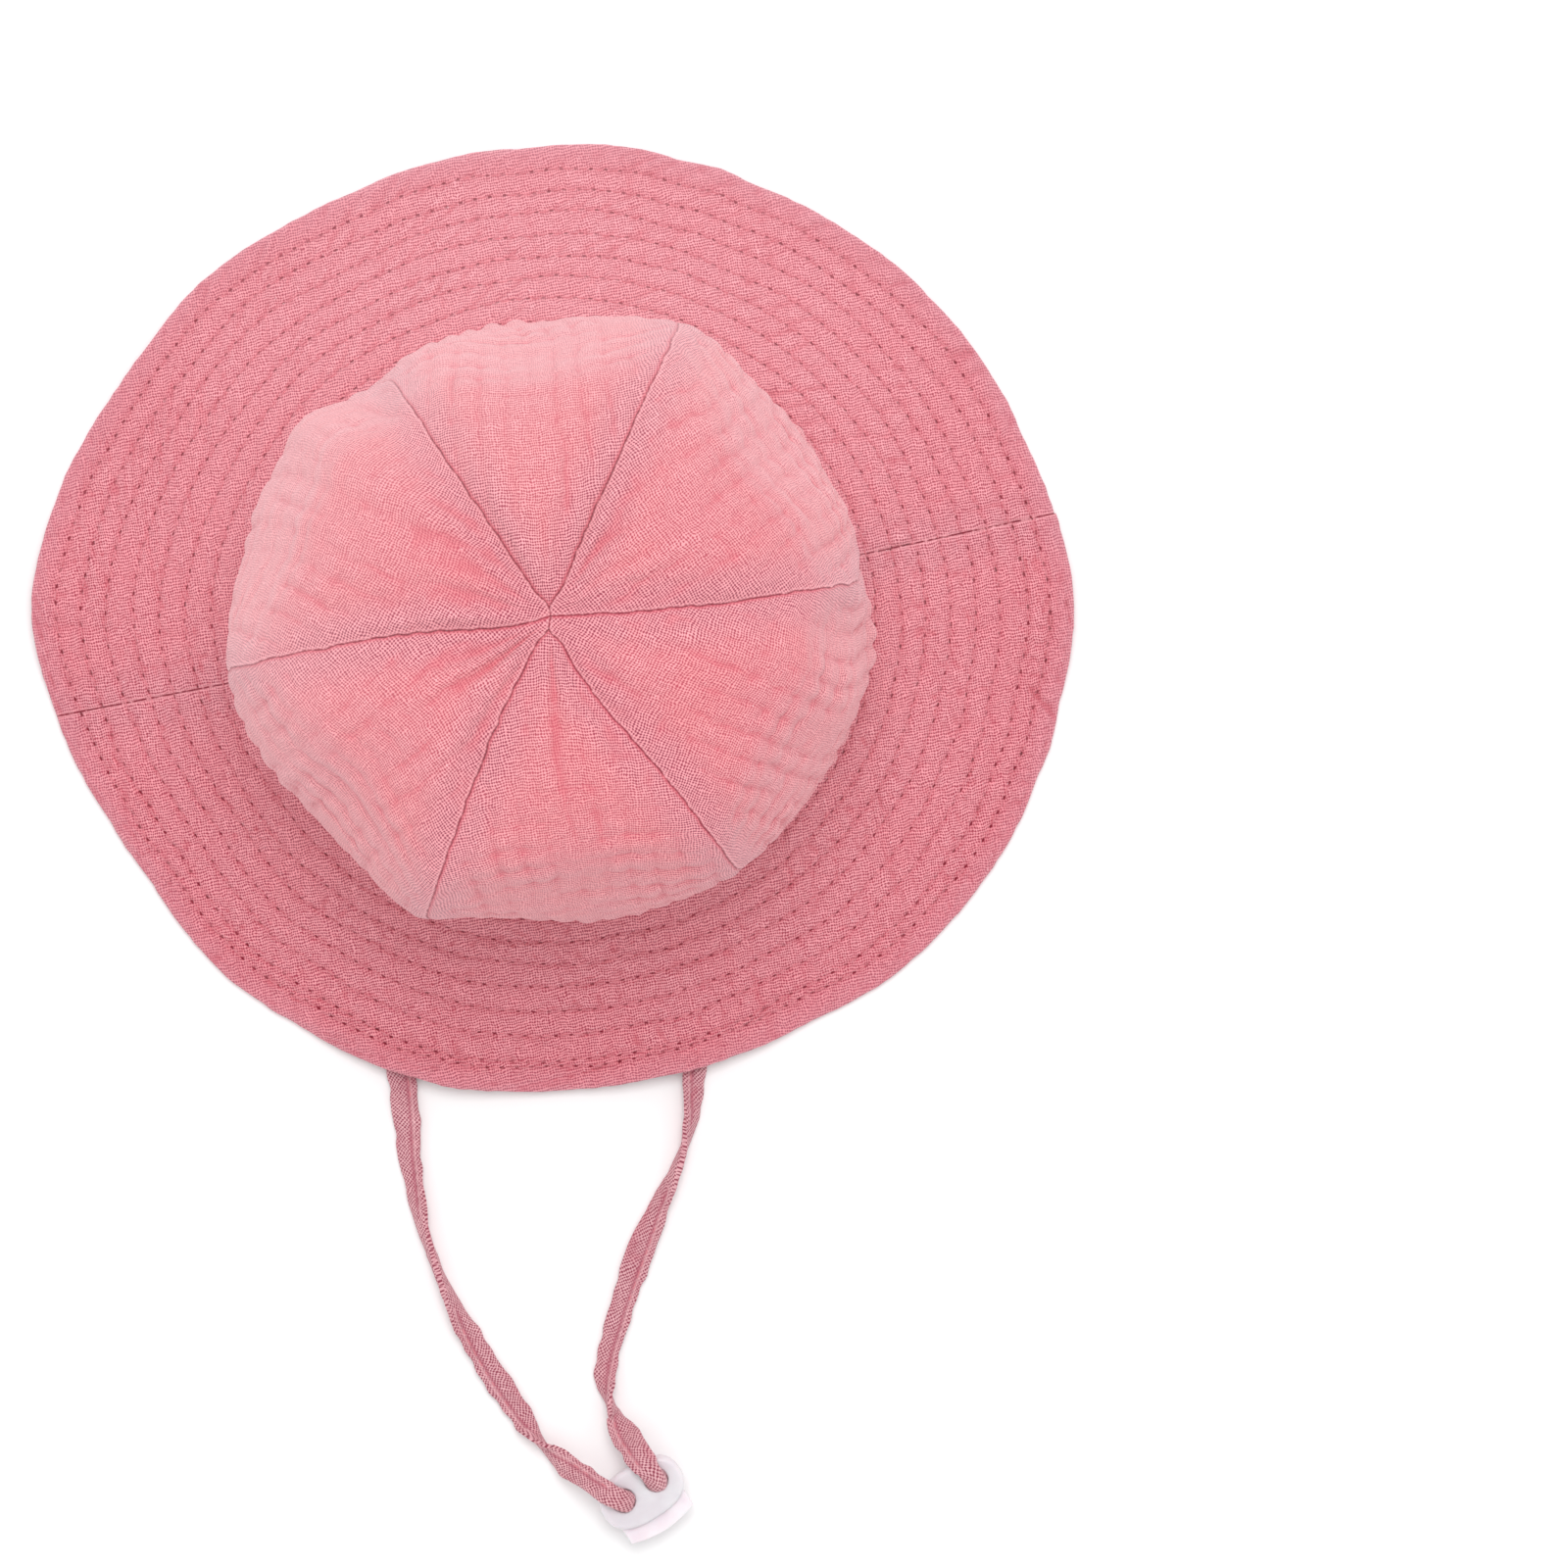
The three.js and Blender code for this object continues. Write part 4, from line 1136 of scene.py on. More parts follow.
def strap_section(arc, wide, thick):
    """The strap's section at each step: how far it reaches sideways and how high, in mm, then its
    distance past the crease, how freely it is folded there, its relief, and the way round it from the
    open edge. The section is a squared ellipse, creased on both faces along the stitching, thinner beyond
    it and notched at its open edge."""
    turn = np.linspace(0, 2 * math.pi, STRAP_SIDES, endpoint=False)[None, :]
    reach, rise = signed_power(np.cos(turn), STRAP_CORNER), signed_power(np.sin(turn), STRAP_CORNER)
    face = 3 * np.sign(rise)
    length, width = arc[:, None], wide[:, None]
    across = width / 2 * reach
    past_crease = across - STRAP_SEAM * width
    free = np.clip((wide / thick - 1.5)[:, None] / 1.2, 0, 1)
    thinning = STRAP_THINNING * share_between(past_crease, 0, 0.6)
    dip = free * (STRAP_CREASE * bump(past_crease, 0.5) + thinning)
    ripple = STRAP_RIPPLE * soft_noise(length / 2.4 + 0.7 * across, across / 2.2 + face, STRAP_SEED + 1)
    swell = STRAP_SWELL * soft_noise(length / 6.5, across / 3 + face, STRAP_SEED + 2)
    tuck_at = length / STRAP_TUCK_PITCH + 1.3 * soft_noise(length / 8, across / 3, STRAP_SEED + 3)
    tucks = STRAP_TUCK * free * (pleat(tuck_at, 0.8) - 0.7) * bump(past_crease, 2.2)
    relief = ripple + swell + tucks
    height = (thick[:, None] / 2 - dip + relief) * rise
    edge_wave = STRAP_EDGE_WAVE * free * soft_noise(length / 3.1, 5 * np.sign(reach), STRAP_SEED + 4)
    edge_wave = edge_wave * np.abs(reach) ** 3
    notch = STRAP_NOTCH * free * bump(np.angle(np.exp(1j * turn)), STRAP_NOTCH_SPREAD)
    around = np.sign(rise) * (width / 2 - across)
    return across - notch + edge_wave * np.sign(reach), height, past_crease, free, relief, around


def strap_faces(steps):
    """Triangles of the strap's tube, closed at both ends by fans round the two last points."""
    faces = tube_faces(steps, STRAP_SIDES)
    first = np.arange(STRAP_SIDES)
    last = first + (steps - 1) * STRAP_SIDES
    tip = np.full_like(first, steps * STRAP_SIDES)
    start_cap = np.stack([np.roll(first, -1), first, tip], axis=-1)
    end_cap = np.stack([last, np.roll(last, -1), tip + 1], axis=-1)
    return np.concatenate([faces[:, [0, 1, 2]], faces[:, [0, 2, 3]], start_cap, end_cap])


def with_ends(values, at_ends=0.0):
    """Values over the strap's rings, and the same value at each of its two end points."""
    return np.concatenate([np.asarray(values, float).ravel(), [at_ends, at_ends]])


def chin_strap(material):
    """The strap: its section carried along its route, with cloth laid on the bias. Also gives the centre
    line and the length, in metres."""
    arc, line, side, over, wide, thick = strap_frame()
    spread, height, past_crease, free, relief, around = strap_section(arc, wide, thick)
    points = line[:, None] + side[:, None] * spread[..., None] + over[:, None] * height[..., None]
    points = np.concatenate([points.reshape(-1, 3), line[[0, -1]]])
    length = np.broadcast_to(arc[:, None], spread.shape)
    bias = np.stack([(around + length).ravel(), (length - around).ravel()], axis=-1) / math.sqrt(2)
    cloth = np.concatenate([bias, [[0, 0], [0, arc[-1]]]])
    from_crease = np.abs(past_crease)
    values = {
        # The strap's crease takes the seam marks and the row shade: painted shadow, painted highlight and
        # painted shade
        "seam_mm": with_ends(from_crease + 9 * (1 - free) ** 2, 9),
        "under": with_ends(past_crease < 0),
        "row_mm": with_ends(from_crease + 9 * (1 - free), 9),
        "stitch_turns": with_ends(length / STRAP_STITCH),
        # Relief for the colours' painted shade in hollows and painted light on ridges
        "crinkle": with_ends(2.2 * relief),
    }
    faces = strap_faces(len(line))
    piece = make_piece("chin_strap_gauze", points, faces, material, "hat", cloth, values)
    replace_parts(piece, "chin_strap")
    return piece, line * MM, float(arc[-1]) * MM


# Cord lock


def lock_outline(inset):
    """The body's outline drawn in by `inset`: a superellipse, whose sides follow the cosine and the sine
    of a full turn, each to the power of two over its squareness."""
    turn = np.linspace(0, 2 * math.pi, LOCK_OUTLINE_STEPS, endpoint=False)
    power = 2 / LOCK_SQUARENESS
    x = (LOCK_HALF_LENGTH - inset) * signed_power(np.cos(turn), power)
    y = LOCK_OFFSET + (LOCK_HALF_WIDTH - inset) * signed_power(np.sin(turn), power)
    return np.stack([x, y], axis=-1)


def button_outline(inset):
    """The button's outline drawn in by `inset`: straight flanks, a back that follows the body's pocket
    and a front bowed out by a parabola from its corners."""
    half = BUTTON_HALF_WIDTH - inset
    bow = BUTTON_REACH - BUTTON_CORNER_REACH
    front_x = np.linspace(-half, half, LOCK_OUTLINE_STEPS // 2)
    front = -BUTTON_CORNER_REACH + inset - bow * (1 - (front_x / half) ** 2)
    back_x = half * np.cos(np.linspace(0, math.pi, LOCK_OUTLINE_STEPS // 2))
    gap = LOCK_WALL + SLOT_CLEARANCE + inset
    share = np.clip(np.abs(back_x) / (LOCK_HALF_LENGTH - gap), 0, 1)
    reach = (LOCK_HALF_WIDTH - gap) * (1 - share**LOCK_SQUARENESS) ** (1 / LOCK_SQUARENESS)
    back = LOCK_OFFSET - BUTTON_TRAVEL + reach
    return np.concatenate([np.stack([front_x, front], axis=-1), np.stack([back_x, back], axis=-1)])


def ring_at(line, height):
    """The points of a flat outline at a height."""
    return np.c_[line, np.full(len(line), height)]


def rounded_plate(outline, thickness, edge):
    """Rings of a plate round z = 0, from its bottom to its top: at each edge the outline is drawn in by
    the edge's radius less its sine while the height changes by the radius less its cosine."""
    turn = np.linspace(0, math.pi / 2, EDGE_STEPS)
    rings = [(edge * (1 - math.sin(t)), edge * (1 - math.cos(t)) - thickness / 2) for t in turn]
    rings = rings + [(inset, -height) for inset, height in reversed(rings)]
    return np.array([ring_at(outline(inset), height) for inset, height in rings])


def hole_rings(x, y, thickness, rounding):
    """Rings of a hole's core: a cylinder that flares by a quarter round at the plate's two faces and
    beyond."""
    sides = [(HOLE_RADIUS + rounding, thickness)]
    for turn in np.linspace(0, math.pi / 2, EDGE_STEPS):
        radius = HOLE_RADIUS + rounding * (1 - math.sin(turn))
        sides.append((radius, thickness / 2 - rounding * (1 - math.cos(turn))))
    sides = [(radius, -height) for radius, height in sides] + sides[::-1]
    around = np.linspace(0, 2 * math.pi, HOLE_SIDES, endpoint=False)
    circle = np.stack([np.cos(around), np.sin(around)], axis=-1)
    return np.array([ring_at(np.array([x, y]) + radius * circle, height) for radius, height in sides])


def solid_object(name, rings):
    """A closed object through rings of points, its first and its last ring filled."""
    count, sides, _ = rings.shape
    faces = [tuple(face) for face in tube_faces(count, sides).tolist()]
    faces += [tuple(range(sides - 1, -1, -1)), tuple(range((count - 1) * sides, count * sides))]
    mesh = bpy.data.meshes.new(name)
    mesh.from_pydata((rings.reshape(-1, 3) * MM).tolist(), [], faces)
    solid = bpy.data.objects.new(name, mesh)
    bpy.context.scene.collection.objects.link(solid)
    return solid


def slab(name, line, half):
    """A closed object between a flat outline's copies at half its thickness below and above z = 0."""
    return solid_object(name, np.array([ring_at(line, -half), ring_at(line, half)]))


def cut_away(solid, cutters):
    """The solid's mesh with the cutters taken out of it; the solid and the cutters are then removed."""
    for cutter in cutters:
        cut = solid.modifiers.new(cutter.name, "BOOLEAN")
        cut.operation, cut.solver, cut.object = "DIFFERENCE", "EXACT", cutter
    depsgraph = bpy.context.evaluated_depsgraph_get()
    mesh = bpy.data.meshes.new_from_object(solid.evaluated_get(depsgraph))
    for used in [solid, *cutters]:
        bpy.data.objects.remove(used)
    return mesh


def lock_piece(name, mesh, material, body):
    """A cord lock piece in its place: turned to the lock's bearing, its middle half a body above the
    lock's foot."""
    place = Vector(LOCK_PLACE) * MM + Vector((0, 0, LOCK_THICKNESS / 2 * MM))
    mesh.transform(Matrix.Translation(place) @ Matrix.Rotation(math.radians(LOCK_BEARING), 4, "Z"))
    mesh.name = name
    mesh.polygons.foreach_set("use_smooth", np.ones(len(mesh.polygons), bool))
    mesh.set_sharp_from_angle(angle=PLASTIC_CORNER)
    mesh.materials.clear()
    mesh.materials.append(material)
    piece = bpy.data.objects.new(name, mesh)
    bpy.context.scene.collection.objects.link(piece)
    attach(piece, body)
    return piece


def lock_holes(name, y, thickness, rounding):
    """The cores of a plate's two holes, side by side at y."""
    return [
        solid_object(f"{name}_hole_{number}", hole_rings(side * HOLE_SPACING / 2, y, thickness, rounding))
        for number, side in enumerate((-1, 1))
    ]


def lock_body(material):
    """The lock's body: a rounded plate with two holes and a pocket that is open towards the button."""
    slot_half = BUTTON_THICKNESS / 2 + SLOT_CLEARANCE
    half = BUTTON_HALF_WIDTH + SLOT_CLEARANCE
    near, far = LOCK_OFFSET - 2 * LOCK_HALF_WIDTH, LOCK_OFFSET
    mouth_line = np.array([(-half, near), (half, near), (half, far), (-half, far)])
    pocket = slab("pocket", lock_outline(LOCK_WALL), slot_half)
    mouth = slab("mouth", mouth_line, slot_half)
    body = solid_object("body", rounded_plate(lock_outline, LOCK_THICKNESS, LOCK_EDGE))
    mesh = cut_away(body, [*lock_holes("body", 0, LOCK_THICKNESS, HOLE_ROUNDING), pocket, mouth])
    piece = lock_piece("lock_body_plastic", mesh, material, "hat")
    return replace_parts(piece, "toggle_body")


def lock_button(material):
    """The push button: a plate that fills the slot, its holes half its travel out of line with the
    body's."""
    plate = solid_object("plate", rounded_plate(button_outline, BUTTON_THICKNESS, BUTTON_EDGE))
    mesh = cut_away(plate, lock_holes("button", -BUTTON_TRAVEL / 2, BUTTON_THICKNESS, BUTTON_EDGE))
    piece = lock_piece("lock_button_plastic", mesh, material, "button")
    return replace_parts(piece, "toggle_button")


# Materials


def new_material(name):
    """An empty node material."""
    material = bpy.data.materials.new(name)
    material.use_nodes = True
    material.node_tree.nodes.clear()
    return material


def srgb(red, green, blue):
    """A colour given in display values from 0 to 255, as linear light."""
    linear = [((v / 255 + 0.055) / 1.055) ** 2.4 if v > 10 else v / 255 / 12.92 for v in (red, green, blue)]
    return (*linear, 1)


# Tones of the gauze, with the share from 0 to 1 of some. Its threads are warm in the open and cool in
# patches, with the pale tone on ridges as painted light and the hollow tone in hollows as painted shade,
# and drawn beside seams. Between them shows a darker tone. The fold tone is painted shade, in hollows,
# along rows of stitches and under a seam's edge; the pale tone on a seam's upper edge is a painted
# highlight. The palest tone is painted light on one side of the hat, and also the colour of specks of lint.
# Needle holes have a length in mm, and crepe is how far the weave wavers, in mm.
CROWN_TONES = {
    "warm": srgb(240, 151, 156),
    "cool": srgb(238, 154, 160),
    "pale": srgb(249, 180, 186),
    "hollow": srgb(218, 108, 118),
    "hollow_shade_share": 0.6,
    "drawn": srgb(241, 162, 170),
    "drawn_share": 1.0,
    "between": srgb(186, 78, 94),
    "drawn_between": srgb(152, 56, 79),
    "fold": srgb(216, 96, 112),
    "line": srgb(150, 28, 56),
    "line_share": 0.85,
    "row_shade_share": 0.25,
    "hole_tone": srgb(124, 34, 56),
    "hole_length": 0.7,
    "hole_share": 0.9,
    "hem": srgb(204, 136, 148),
    "hem_share": 0.0,
    "light_and_lint_pale": srgb(252, 208, 212),
    "painted_light_share": 0.25,
    "crepe": 0.62,
    "sheen": 0.5,
}
BRIM_TONES = {
    "warm": srgb(240, 152, 161),
    "cool": srgb(240, 156, 165),
    "pale": srgb(250, 179, 186),
    "hollow": srgb(214, 112, 123),
    "hollow_shade_share": 0.7,
    "drawn": srgb(224, 153, 163),
    "drawn_share": 0.5,
    "between": srgb(166, 60, 80),
    "drawn_between": srgb(150, 56, 76),
    "fold": srgb(196, 84, 100),
    "line": srgb(140, 20, 48),
    "line_share": 1.0,
    "row_shade_share": 0.3,
    "hole_tone": srgb(134, 16, 42),
    "hole_length": 0.62,
    "hole_share": 1.0,
    "hem": srgb(198, 132, 146),
    "hem_share": 0.35,
    "light_and_lint_pale": srgb(253, 210, 216),
    "painted_light_share": 0.17,
    "crepe": 0.6,
    "sheen": 0.3,
}
STRAP_TONES = {
    **BRIM_TONES,
    "warm": srgb(220, 164, 170),
    "cool": srgb(216, 162, 169),
    "pale": srgb(246, 196, 200),
    "hollow": srgb(202, 124, 135),
    "drawn": srgb(220, 166, 173),
    "drawn_share": 0.7,
    "between": srgb(146, 62, 80),
    "drawn_between": srgb(142, 62, 80),
    "fold": srgb(170, 84, 102),
    "line": srgb(128, 44, 66),
    "line_share": 0.55,
    "row_shade_share": 0.4,
    "hole_length": 0.7,
    "hole_share": 0.9,
    "crepe": 0.45,
}

# Distances from a seam or a row of stitches, in mm, over which each mark of the gauze grows to its full
# share, and half the width of a needle hole
DRAWN_REACH = (13.0, 2.0)
SHADE_REACH = (1.1, 0.15)
EDGE_HIGHLIGHT_REACH = (0.9, 0.5)
LINE_REACH = (0.36, 0.12)
ROW_SHADE_REACH = (1.7, 0.1)
HOLE_HALF_WIDTH = 0.27

# Noise over the cloth: lumps to a millimetre, and levels of finer lumps
PATCHES = (0.05, 3.0, 0.6)
LUMPS = (0.5, 2.0)
ROW_SHADE_PATCHES = (0.3, 2.0)
LINE_BREAKS = (0.6, 1.0)
HOLE_CHANGES = (0.14, 2.0)
LINT = (1.7, 0.0)

# Sewing thread, and the dull and the clear tone of the cord lock's plastic
ROSE = srgb(226, 140, 150)
MILK_DULL = (0.79, 0.69, 0.745, 1)
MILK_CLEAR = (0.86, 0.79, 0.83, 1)


class Nodes:
    """Adds nodes to a tree and links them. A value may be a number, a colour or another node's output."""

    def __init__(self, tree):
        self.tree = tree

    def set_input(self, socket, value):
        """Links another node's output to the socket, or gives the socket the value."""
        if isinstance(value, bpy.types.NodeSocket):
            self.tree.links.new(value, socket)
        else:
            socket.default_value = value

    def add(self, kind, inputs=None, **settings):
        """A new node with its settings and the values of its inputs."""
        node = self.tree.nodes.new(kind)
        for key, value in settings.items():
            setattr(node, key, value)
        for key, value in (inputs or {}).items():
            self.set_input(node.inputs[key], value)
        return node

    def math(self, operation, *values):
        """The result of one operation on numbers."""
        return self.add("ShaderNodeMath", dict(enumerate(values)), operation=operation).outputs[0]

    def plus(self, first, second):
        """The sum of two values."""
        return self.math("ADD", first, second)

    def minus(self, first, second):
        """The first value less the second."""
        return self.math("SUBTRACT", first, second)

    def times(self, first, *others):
        """The product of two or more values."""
        for other in others:
            first = self.math("MULTIPLY", first, other)
        return first

    def vector(self, operation, first, second):
        """The vectors' sum, difference or product, or with SCALE the first times a number."""
        other = "Scale" if operation == "SCALE" else 1
        return self.add("ShaderNodeVectorMath", {0: first, other: second}, operation=operation).outputs[0]

    def noise(self, vector, scale, detail=2.0, rough=0.5, output="Fac"):
        """Cloudy noise of so many lumps to a unit of the vector, about 0.5."""
        inputs = {"Vector": vector, "Scale": scale, "Detail": detail, "Roughness": rough}
        return self.add("ShaderNodeTexNoise", inputs).outputs[output]

    def mix(self, share, low, high):
        """The low colour at a share of 0, the high one at 1."""
        node = self.add("ShaderNodeMix", data_type="RGBA")
        for key, value in (("Factor", share), ("A", low), ("B", high)):
            self.set_input(next(s for s in node.inputs if s.name == key and s.enabled), value)
        return next(s for s in node.outputs if s.enabled)

    def ramp(self, value, low, high):
        """0 at `low` and 1 at `high`, smooth between and level beyond. `low` may be the larger."""
        inputs = {"Value": value, "From Min": low, "From Max": high}
        return self.add("ShaderNodeMapRange", inputs, interpolation_type="SMOOTHSTEP").outputs[0]

    def attribute(self, name):
        """A value that the mesh carries at each point."""
        return self.add("ShaderNodeAttribute", attribute_name=name).outputs["Fac"]

    def finish(self, shader):
        """The shader as the material's surface."""
        self.add("ShaderNodeOutputMaterial", {"Surface": shader.outputs[0]})


def new_group(name, inputs, output):
    """A node group of number inputs, but a vector for cloth places, with one number output."""
    tree = bpy.data.node_groups.new(name, "ShaderNodeTree")
    for label in inputs:
        kind = "NodeSocketVector" if label == "Cloth" else "NodeSocketFloat"
        tree.interface.new_socket(label, in_out="INPUT", socket_type=kind)
    tree.interface.new_socket(output, in_out="OUTPUT", socket_type="NodeSocketFloat")
    n = Nodes(tree)
    return n, n.add("NodeGroupInput").outputs


def gauze_weave_group():
    """Open gauze weave in cloth millimetres: a grid of weft rows and warp, wavering and a little uneven.
    Thread is 1 on a thread and 0 in the dark holes between rows, which the warp breaks up."""
    n, given = new_group("gauze weave", ["Cloth", "Crepe"], "Thread")
    half = (0.5, 0.5, 0.5)
    stretched = n.vector("MULTIPLY", given["Cloth"], (0.3, 0.17, 1.0))
    slow = n.vector("SUBTRACT", n.noise(stretched, 1.0, 1.0, output="Color"), half)
    quick = n.vector("SUBTRACT", n.noise(given["Cloth"], 0.72, 1.0, output="Color"), half)
    shift = n.vector("ADD", n.vector("SCALE", slow, 1.5), n.vector("SCALE", quick, given["Crepe"]))
    cloth = n.vector("ADD", given["Cloth"], shift)
    parts = n.add("ShaderNodeSeparateXYZ", {0: cloth}).outputs
    weft = n.math("COSINE", n.times(parts[1], 2 * math.pi / WEFT_PITCH))
    warp = n.math("COSINE", n.times(parts[0], 2 * math.pi / WARP_PITCH))
    uneven = n.times(n.minus(n.noise(cloth, 1.3, 1.0), 0.5), 0.95)
    threads = n.plus(n.times(weft, 0.38), n.times(warp, 0.33))
    thread = n.ramp(n.plus(threads, n.plus(uneven, 0.58)), 0.14, 0.82)
    n.add("NodeGroupOutput", {"Thread": thread})
    return n.tree


def needle_holes_group():
    """Small dark dashes where the needle went through, one for each whole stitch turn along a row: ovals
    of the sum of the squares of the distances along and beside the hole."""
    n, given = new_group("needle holes", ["Row", "Turns", "Length"], "Hole")
    from_hole = n.minus(n.math("FRACT", n.plus(given["Turns"], 0.5)), 0.5)
    along = n.math("DIVIDE", n.times(from_hole, STITCH_LENGTH), given["Length"])
    beside = n.math("DIVIDE", given["Row"], HOLE_HALF_WIDTH)
    away = n.plus(n.math("POWER", along, 2.0), n.math("POWER", beside, 2.0))
    n.add("NodeGroupOutput", {"Hole": n.ramp(away, 1.25, 0.35)})
    return n.tree


def thread_colour(n, tones, crinkle, patch, drawn):
    """The threads: warm in the open and cool in patches, drawn beside seams, with painted light on the
    crinkle's ridges and painted shade in its hollows."""
    warm = n.ramp(n.plus(n.times(crinkle, 0.1), patch), 0.4, 0.64)
    thread = n.mix(warm, tones["cool"], tones["warm"])
    thread = n.mix(n.times(drawn, 0.8), thread, tones["drawn"])
    # Painted light on the crinkle's ridges, then painted shade in its hollows
    thread = n.mix(n.times(n.ramp(crinkle, 0.0, 0.6), 0.3), thread, tones["pale"])
    return n.mix(n.times(n.ramp(crinkle, -0.1, -0.9), tones["hollow_shade_share"]), thread, tones["hollow"])


def seam_marks(n, tones, ground, cloth):
    """The ground with painted shadow beside a seam, mostly on the side whose edge lies under, and a painted
    highlight on the upper edge, with the seam's own fine dark line."""
    seam, under = n.attribute("seam_mm"), n.attribute("under")
    # Painted shadow beside the seam, mostly where this edge lies under its neighbour's
    shaded = n.times(n.ramp(seam, *SHADE_REACH), n.plus(n.times(under, 0.6), 0.12))
    ground = n.mix(shaded, ground, tones["fold"])
    # Painted highlight on the upper edge of the seam
    edge = n.times(n.ramp(seam, *EDGE_HIGHLIGHT_REACH), n.minus(0.4, n.times(under, 0.4)))
    ground = n.mix(edge, ground, tones["pale"])
    line = n.times(n.ramp(seam, *LINE_REACH), n.ramp(n.noise(cloth, *LINE_BREAKS), 0.3, 0.55))
    return n.mix(n.times(line, tones["line_share"]), ground, tones["line"])


def painted_light_and_lint(n, tones, ground, cloth):
    """The ground painted paler on one side as painted light, most on the crown's shoulder and towards the
    brim's crown seam, with specks of lint.
    """
    # Painted light where the mesh says; the specks of lint are the cloth's own
    ground = n.mix(n.times(n.attribute("painted_light"), tones["painted_light_share"]), ground, tones["light_and_lint_pale"])
    lint = n.times(n.ramp(n.noise(cloth, *LINT), 0.8, 0.86), 0.6)
    return n.mix(lint, ground, tones["light_and_lint_pale"])


def gauze_ground(n, tones, cloth, patch, thread, drawn, hole):
    """The cloth's whole colour: its threads, the dark between them, most of all where the cloth is drawn
    open beside a seam, and painted shade in the crinkle's hollows, then painted shade along the rows, the
    hem, the seams with their painted shadow and highlight and their own dark line, the needle holes, and
    painted light with specks of lint."""
    crinkle, row = n.attribute("crinkle"), n.attribute("row_mm")
    between = n.mix(drawn, tones["between"], tones["drawn_between"])
    # Painted shade: the gaps take the fold tone in the crinkle's hollows
    between = n.mix(n.times(n.ramp(crinkle, 0.0, -0.8), 0.4), between, tones["fold"])
    ground = n.mix(n.minus(1.0, thread), thread_colour(n, tones, crinkle, patch, drawn), between)
    # Painted shade: the fold tone along each row of stitches, in patches
    row_shade = n.times(n.ramp(row, *ROW_SHADE_REACH), n.ramp(n.noise(cloth, *ROW_SHADE_PATCHES), 0.3, 0.62))
    ground = n.mix(n.times(row_shade, tones["row_shade_share"]), ground, tones["fold"])
    ground = n.mix(n.times(n.attribute("hem"), tones["hem_share"]), ground, tones["hem"])
    ground = seam_marks(n, tones, ground, cloth)
    open_hole = n.plus(n.times(n.ramp(n.noise(cloth, *HOLE_CHANGES), 0.35, 0.6), 0.6), 0.4)
    ground = n.mix(n.times(open_hole, tones["hole_share"], hole), ground, tones["hole_tone"])
    return painted_light_and_lint(n, tones, ground, cloth)


def gauze_material(name, weave, holes, tones):
    """Double gauze: woven threads with dark gaps, raised a little by their bump over slow lumps, sunk at
    the needle holes, rough and with a soft sheen."""
    material = new_material(name)
    n = Nodes(material.node_tree)
    cloth = n.add("ShaderNodeUVMap", uv_map="cloth").outputs[0]
    patch = n.noise(cloth, *PATCHES)
    near_seam = n.ramp(n.attribute("seam_mm"), *DRAWN_REACH)
    drawn = n.times(near_seam, n.ramp(patch, 0.2, 0.5), tones["drawn_share"])
    crepe = n.minus(tones["crepe"], n.times(drawn, 0.6 * tones["crepe"]))
    thread = n.add("ShaderNodeGroup", {"Cloth": cloth, "Crepe": crepe}, node_tree=weave).outputs["Thread"]
    row, turns = n.attribute("row_mm"), n.attribute("stitch_turns")
    stitched = {"Row": row, "Turns": turns, "Length": tones["hole_length"]}
    hole = n.add("ShaderNodeGroup", stitched, node_tree=holes).outputs["Hole"]
    lump = n.noise(cloth, *LUMPS)
    relief = n.minus(n.plus(n.times(thread, 0.7), n.times(lump, 1.2)), n.times(hole, 0.9))
    surface = n.add("ShaderNodeBump", {"Height": relief, "Strength": 0.6, "Distance": 0.0003}).outputs[0]
    looks = {
        "Base Color": gauze_ground(n, tones, cloth, patch, thread, drawn, hole),
        "Roughness": n.plus(n.times(lump, 0.12), 0.84),
        "Normal": surface,
        "Specular IOR Level": 0.12,
        "Sheen Weight": tones["sheen"],
        "Sheen Roughness": 0.6,
        "Sheen Tint": (1.0, 0.8, 0.83, 1),
    }
    n.finish(n.add("ShaderNodeBsdfPrincipled", looks))
    return material


def plain_thread(name, colour):
    """Sewing thread: the colour with a fine, deeper twist along it."""
    material = new_material(name)
    n = Nodes(material.node_tree)
    twist = n.noise(n.add("ShaderNodeTexCoord").outputs["Object"], 2600.0, 2.0)
    deeper = (colour[0] * 0.5, colour[1] * 0.4, colour[2] * 0.45, 1)
    tone = n.mix(n.times(twist, 0.5), colour, deeper)
    n.finish(n.add("ShaderNodeBsdfPrincipled", {"Base Color": tone, "Roughness": 0.7}))
    return material


def milky_plastic(name):
    """Cord lock plastic: milky white, lit through at its edges, clouded, with a faint grain."""
    material = new_material(name)
    n = Nodes(material.node_tree)
    place = n.add("ShaderNodeTexCoord").outputs["Object"]
    cloud = n.noise(place, 120.0, 3.0)
    grain = n.noise(place, 1800.0, 2.0)
    surface = n.add("ShaderNodeBump", {"Height": grain, "Strength": 0.2, "Distance": 0.00005}).outputs[0]
    looks = {
        "Base Color": n.mix(n.ramp(cloud, 0.35, 0.7), MILK_DULL, MILK_CLEAR),
        "Roughness": n.plus(n.times(cloud, 0.15), 0.3),
        "Normal": surface,
        "Subsurface Weight": 0.6,
        "Subsurface Radius": (0.005, 0.004, 0.004),
        "Subsurface Scale": 1.0,
    }
    n.finish(n.add("ShaderNodeBsdfPrincipled", looks))
    return material


# Stage


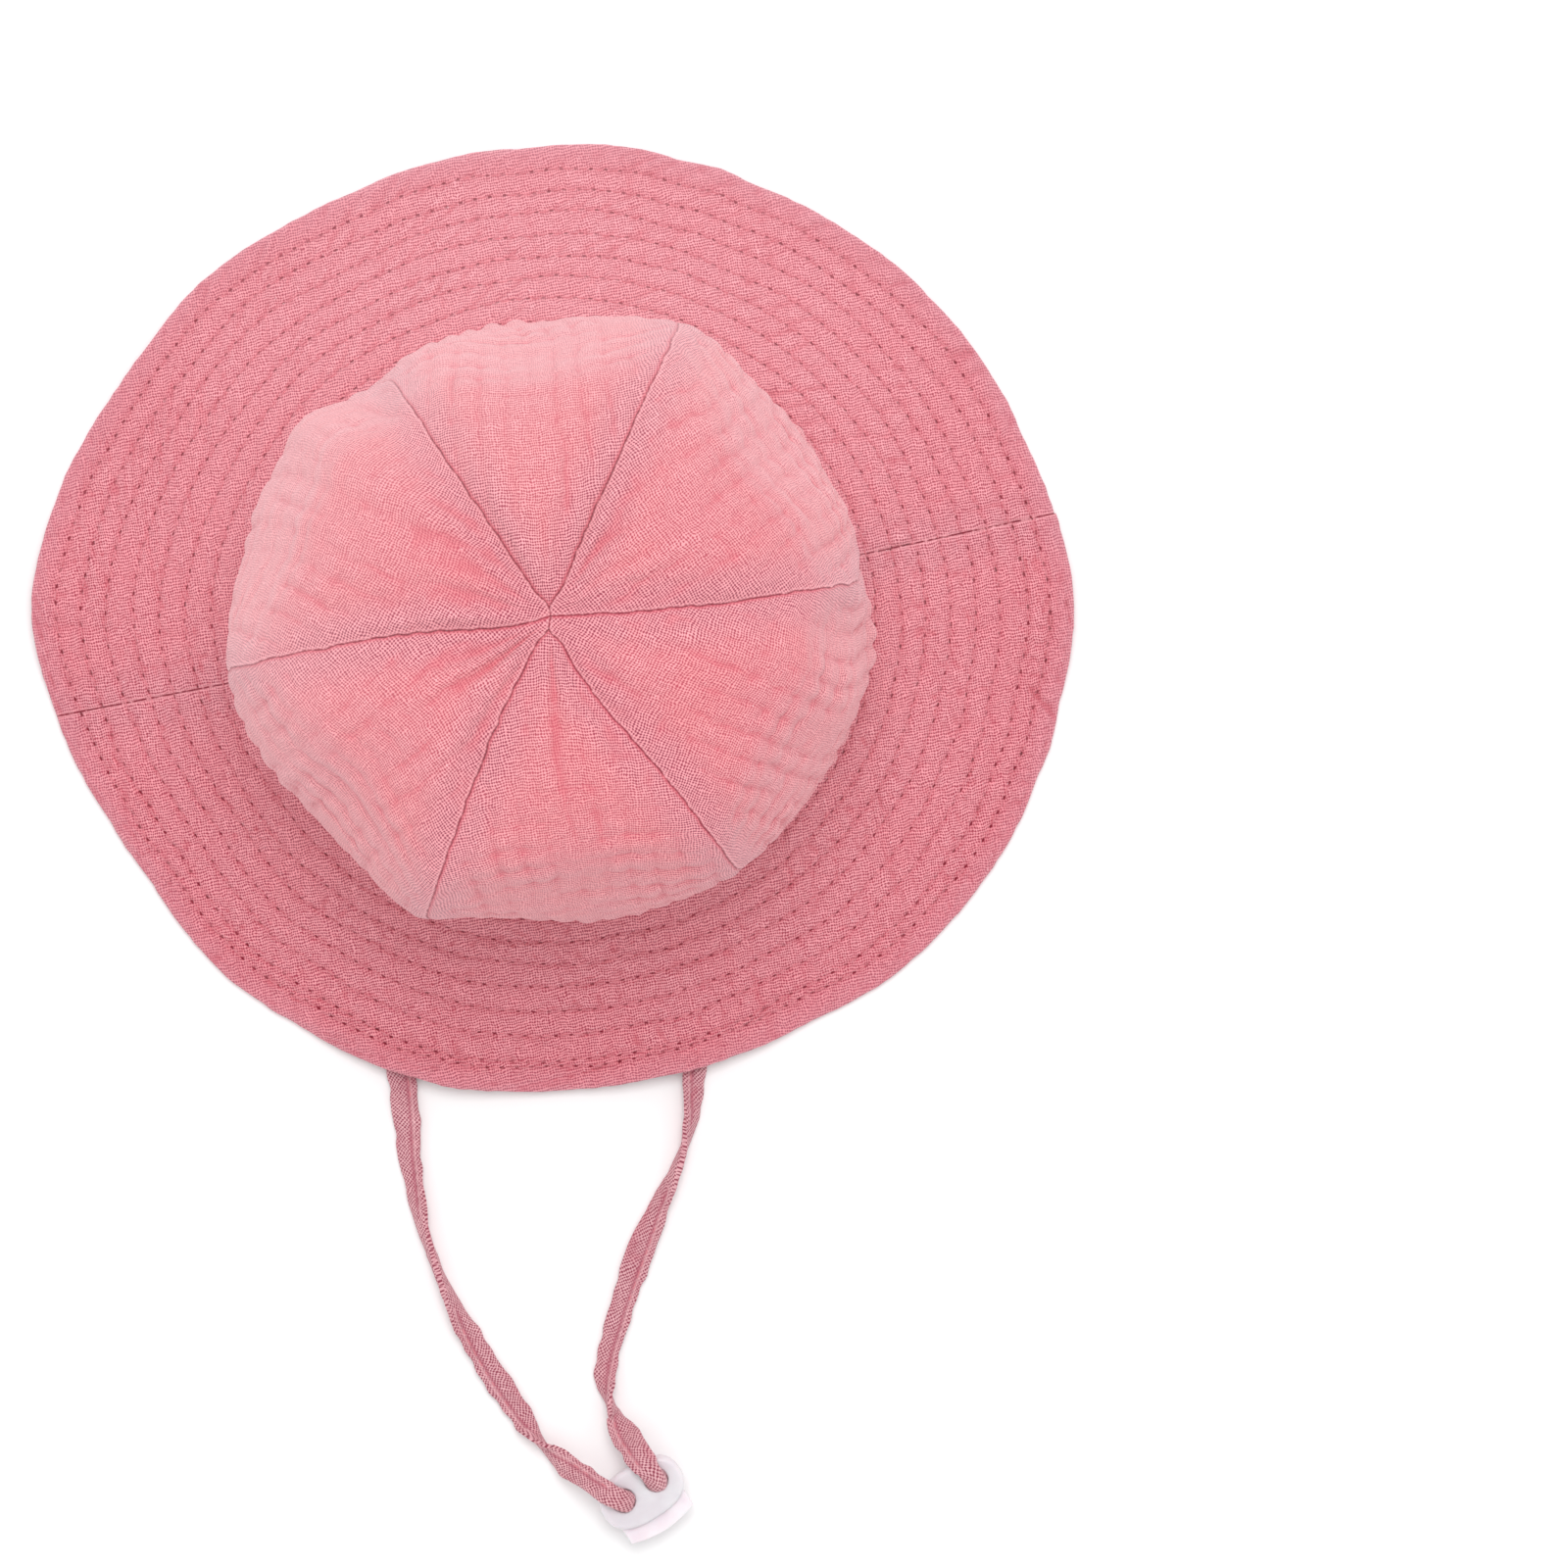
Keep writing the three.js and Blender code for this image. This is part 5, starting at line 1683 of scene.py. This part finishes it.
def pale_floor():
    """A plain pale floor, just under the hat."""
    mesh = bpy.data.meshes.new("floor")
    corners = [(side * FLOOR_HALF, end * FLOOR_HALF, FLOOR_HEIGHT) for side, end in FLOOR_CORNERS]
    mesh.from_pydata(corners, [], [(0, 1, 2, 3)])
    material = new_material("pale paper")
    n = Nodes(material.node_tree)
    n.finish(n.add("ShaderNodeBsdfPrincipled", {"Base Color": PAPER, "Roughness": 0.9}))
    mesh.materials.append(material)
    floor = bpy.data.objects.new("floor", mesh)
    bpy.context.scene.collection.objects.link(floor)


def studio():
    """An even white surround and one large soft lamp overhead, towards the picture's top."""
    world = bpy.data.worlds.new("surround")
    world.use_nodes = True
    background = world.node_tree.nodes["Background"]
    background.inputs["Color"].default_value = (1, 1, 1, 1)
    background.inputs["Strength"].default_value = SURROUND_LIGHT
    bpy.context.scene.world = world
    lamp = bpy.data.lights.new("softbox", "AREA")
    lamp.shape = "RECTANGLE"
    lamp.size, lamp.size_y = LAMP_SIZE, LAMP_SIZE
    lamp.energy = LAMP_WATTS
    softbox = bpy.data.objects.new("softbox", lamp)
    place = LAMP_HEIGHT * Vector((0, 0, 1)) + LAMP_OUT * direction(LAMP_BEARING)
    softbox.location = place
    softbox.rotation_euler = place.to_track_quat("Z", "Y").to_euler()
    bpy.context.scene.collection.objects.link(softbox)
    bpy.context.scene.view_settings.view_transform = "Standard"


hang_camera()

weave = gauze_weave_group()
holes = needle_holes_group()
crown_gauze = gauze_material("crown gauze", weave, holes, CROWN_TONES)
brim_gauze = gauze_material("brim gauze", weave, holes, BRIM_TONES)
strap_gauze = gauze_material("strap gauze", weave, holes, STRAP_TONES)
rose_thread = plain_thread("rose thread", ROSE)
lock_plastic = milky_plastic("milky plastic")

strap, strap_path, strap_length = chin_strap(strap_gauze)
lock_body(lock_plastic)
lock_button(lock_plastic)
strap_stitches(rose_thread)
for panel in range(len(CROWN_SEAMS)):
    crown_panel(panel, crown_gauze)
brim_half("brim_back", BRIM_SEAMS[0], BRIM_SEAMS[1], brim_gauze)
brim_half("brim_front", BRIM_SEAMS[1], BRIM_SEAMS[0] + 360, brim_gauze)
brim_stitches(rose_thread)
crown_stitches(rose_thread)
pale_floor()
studio()
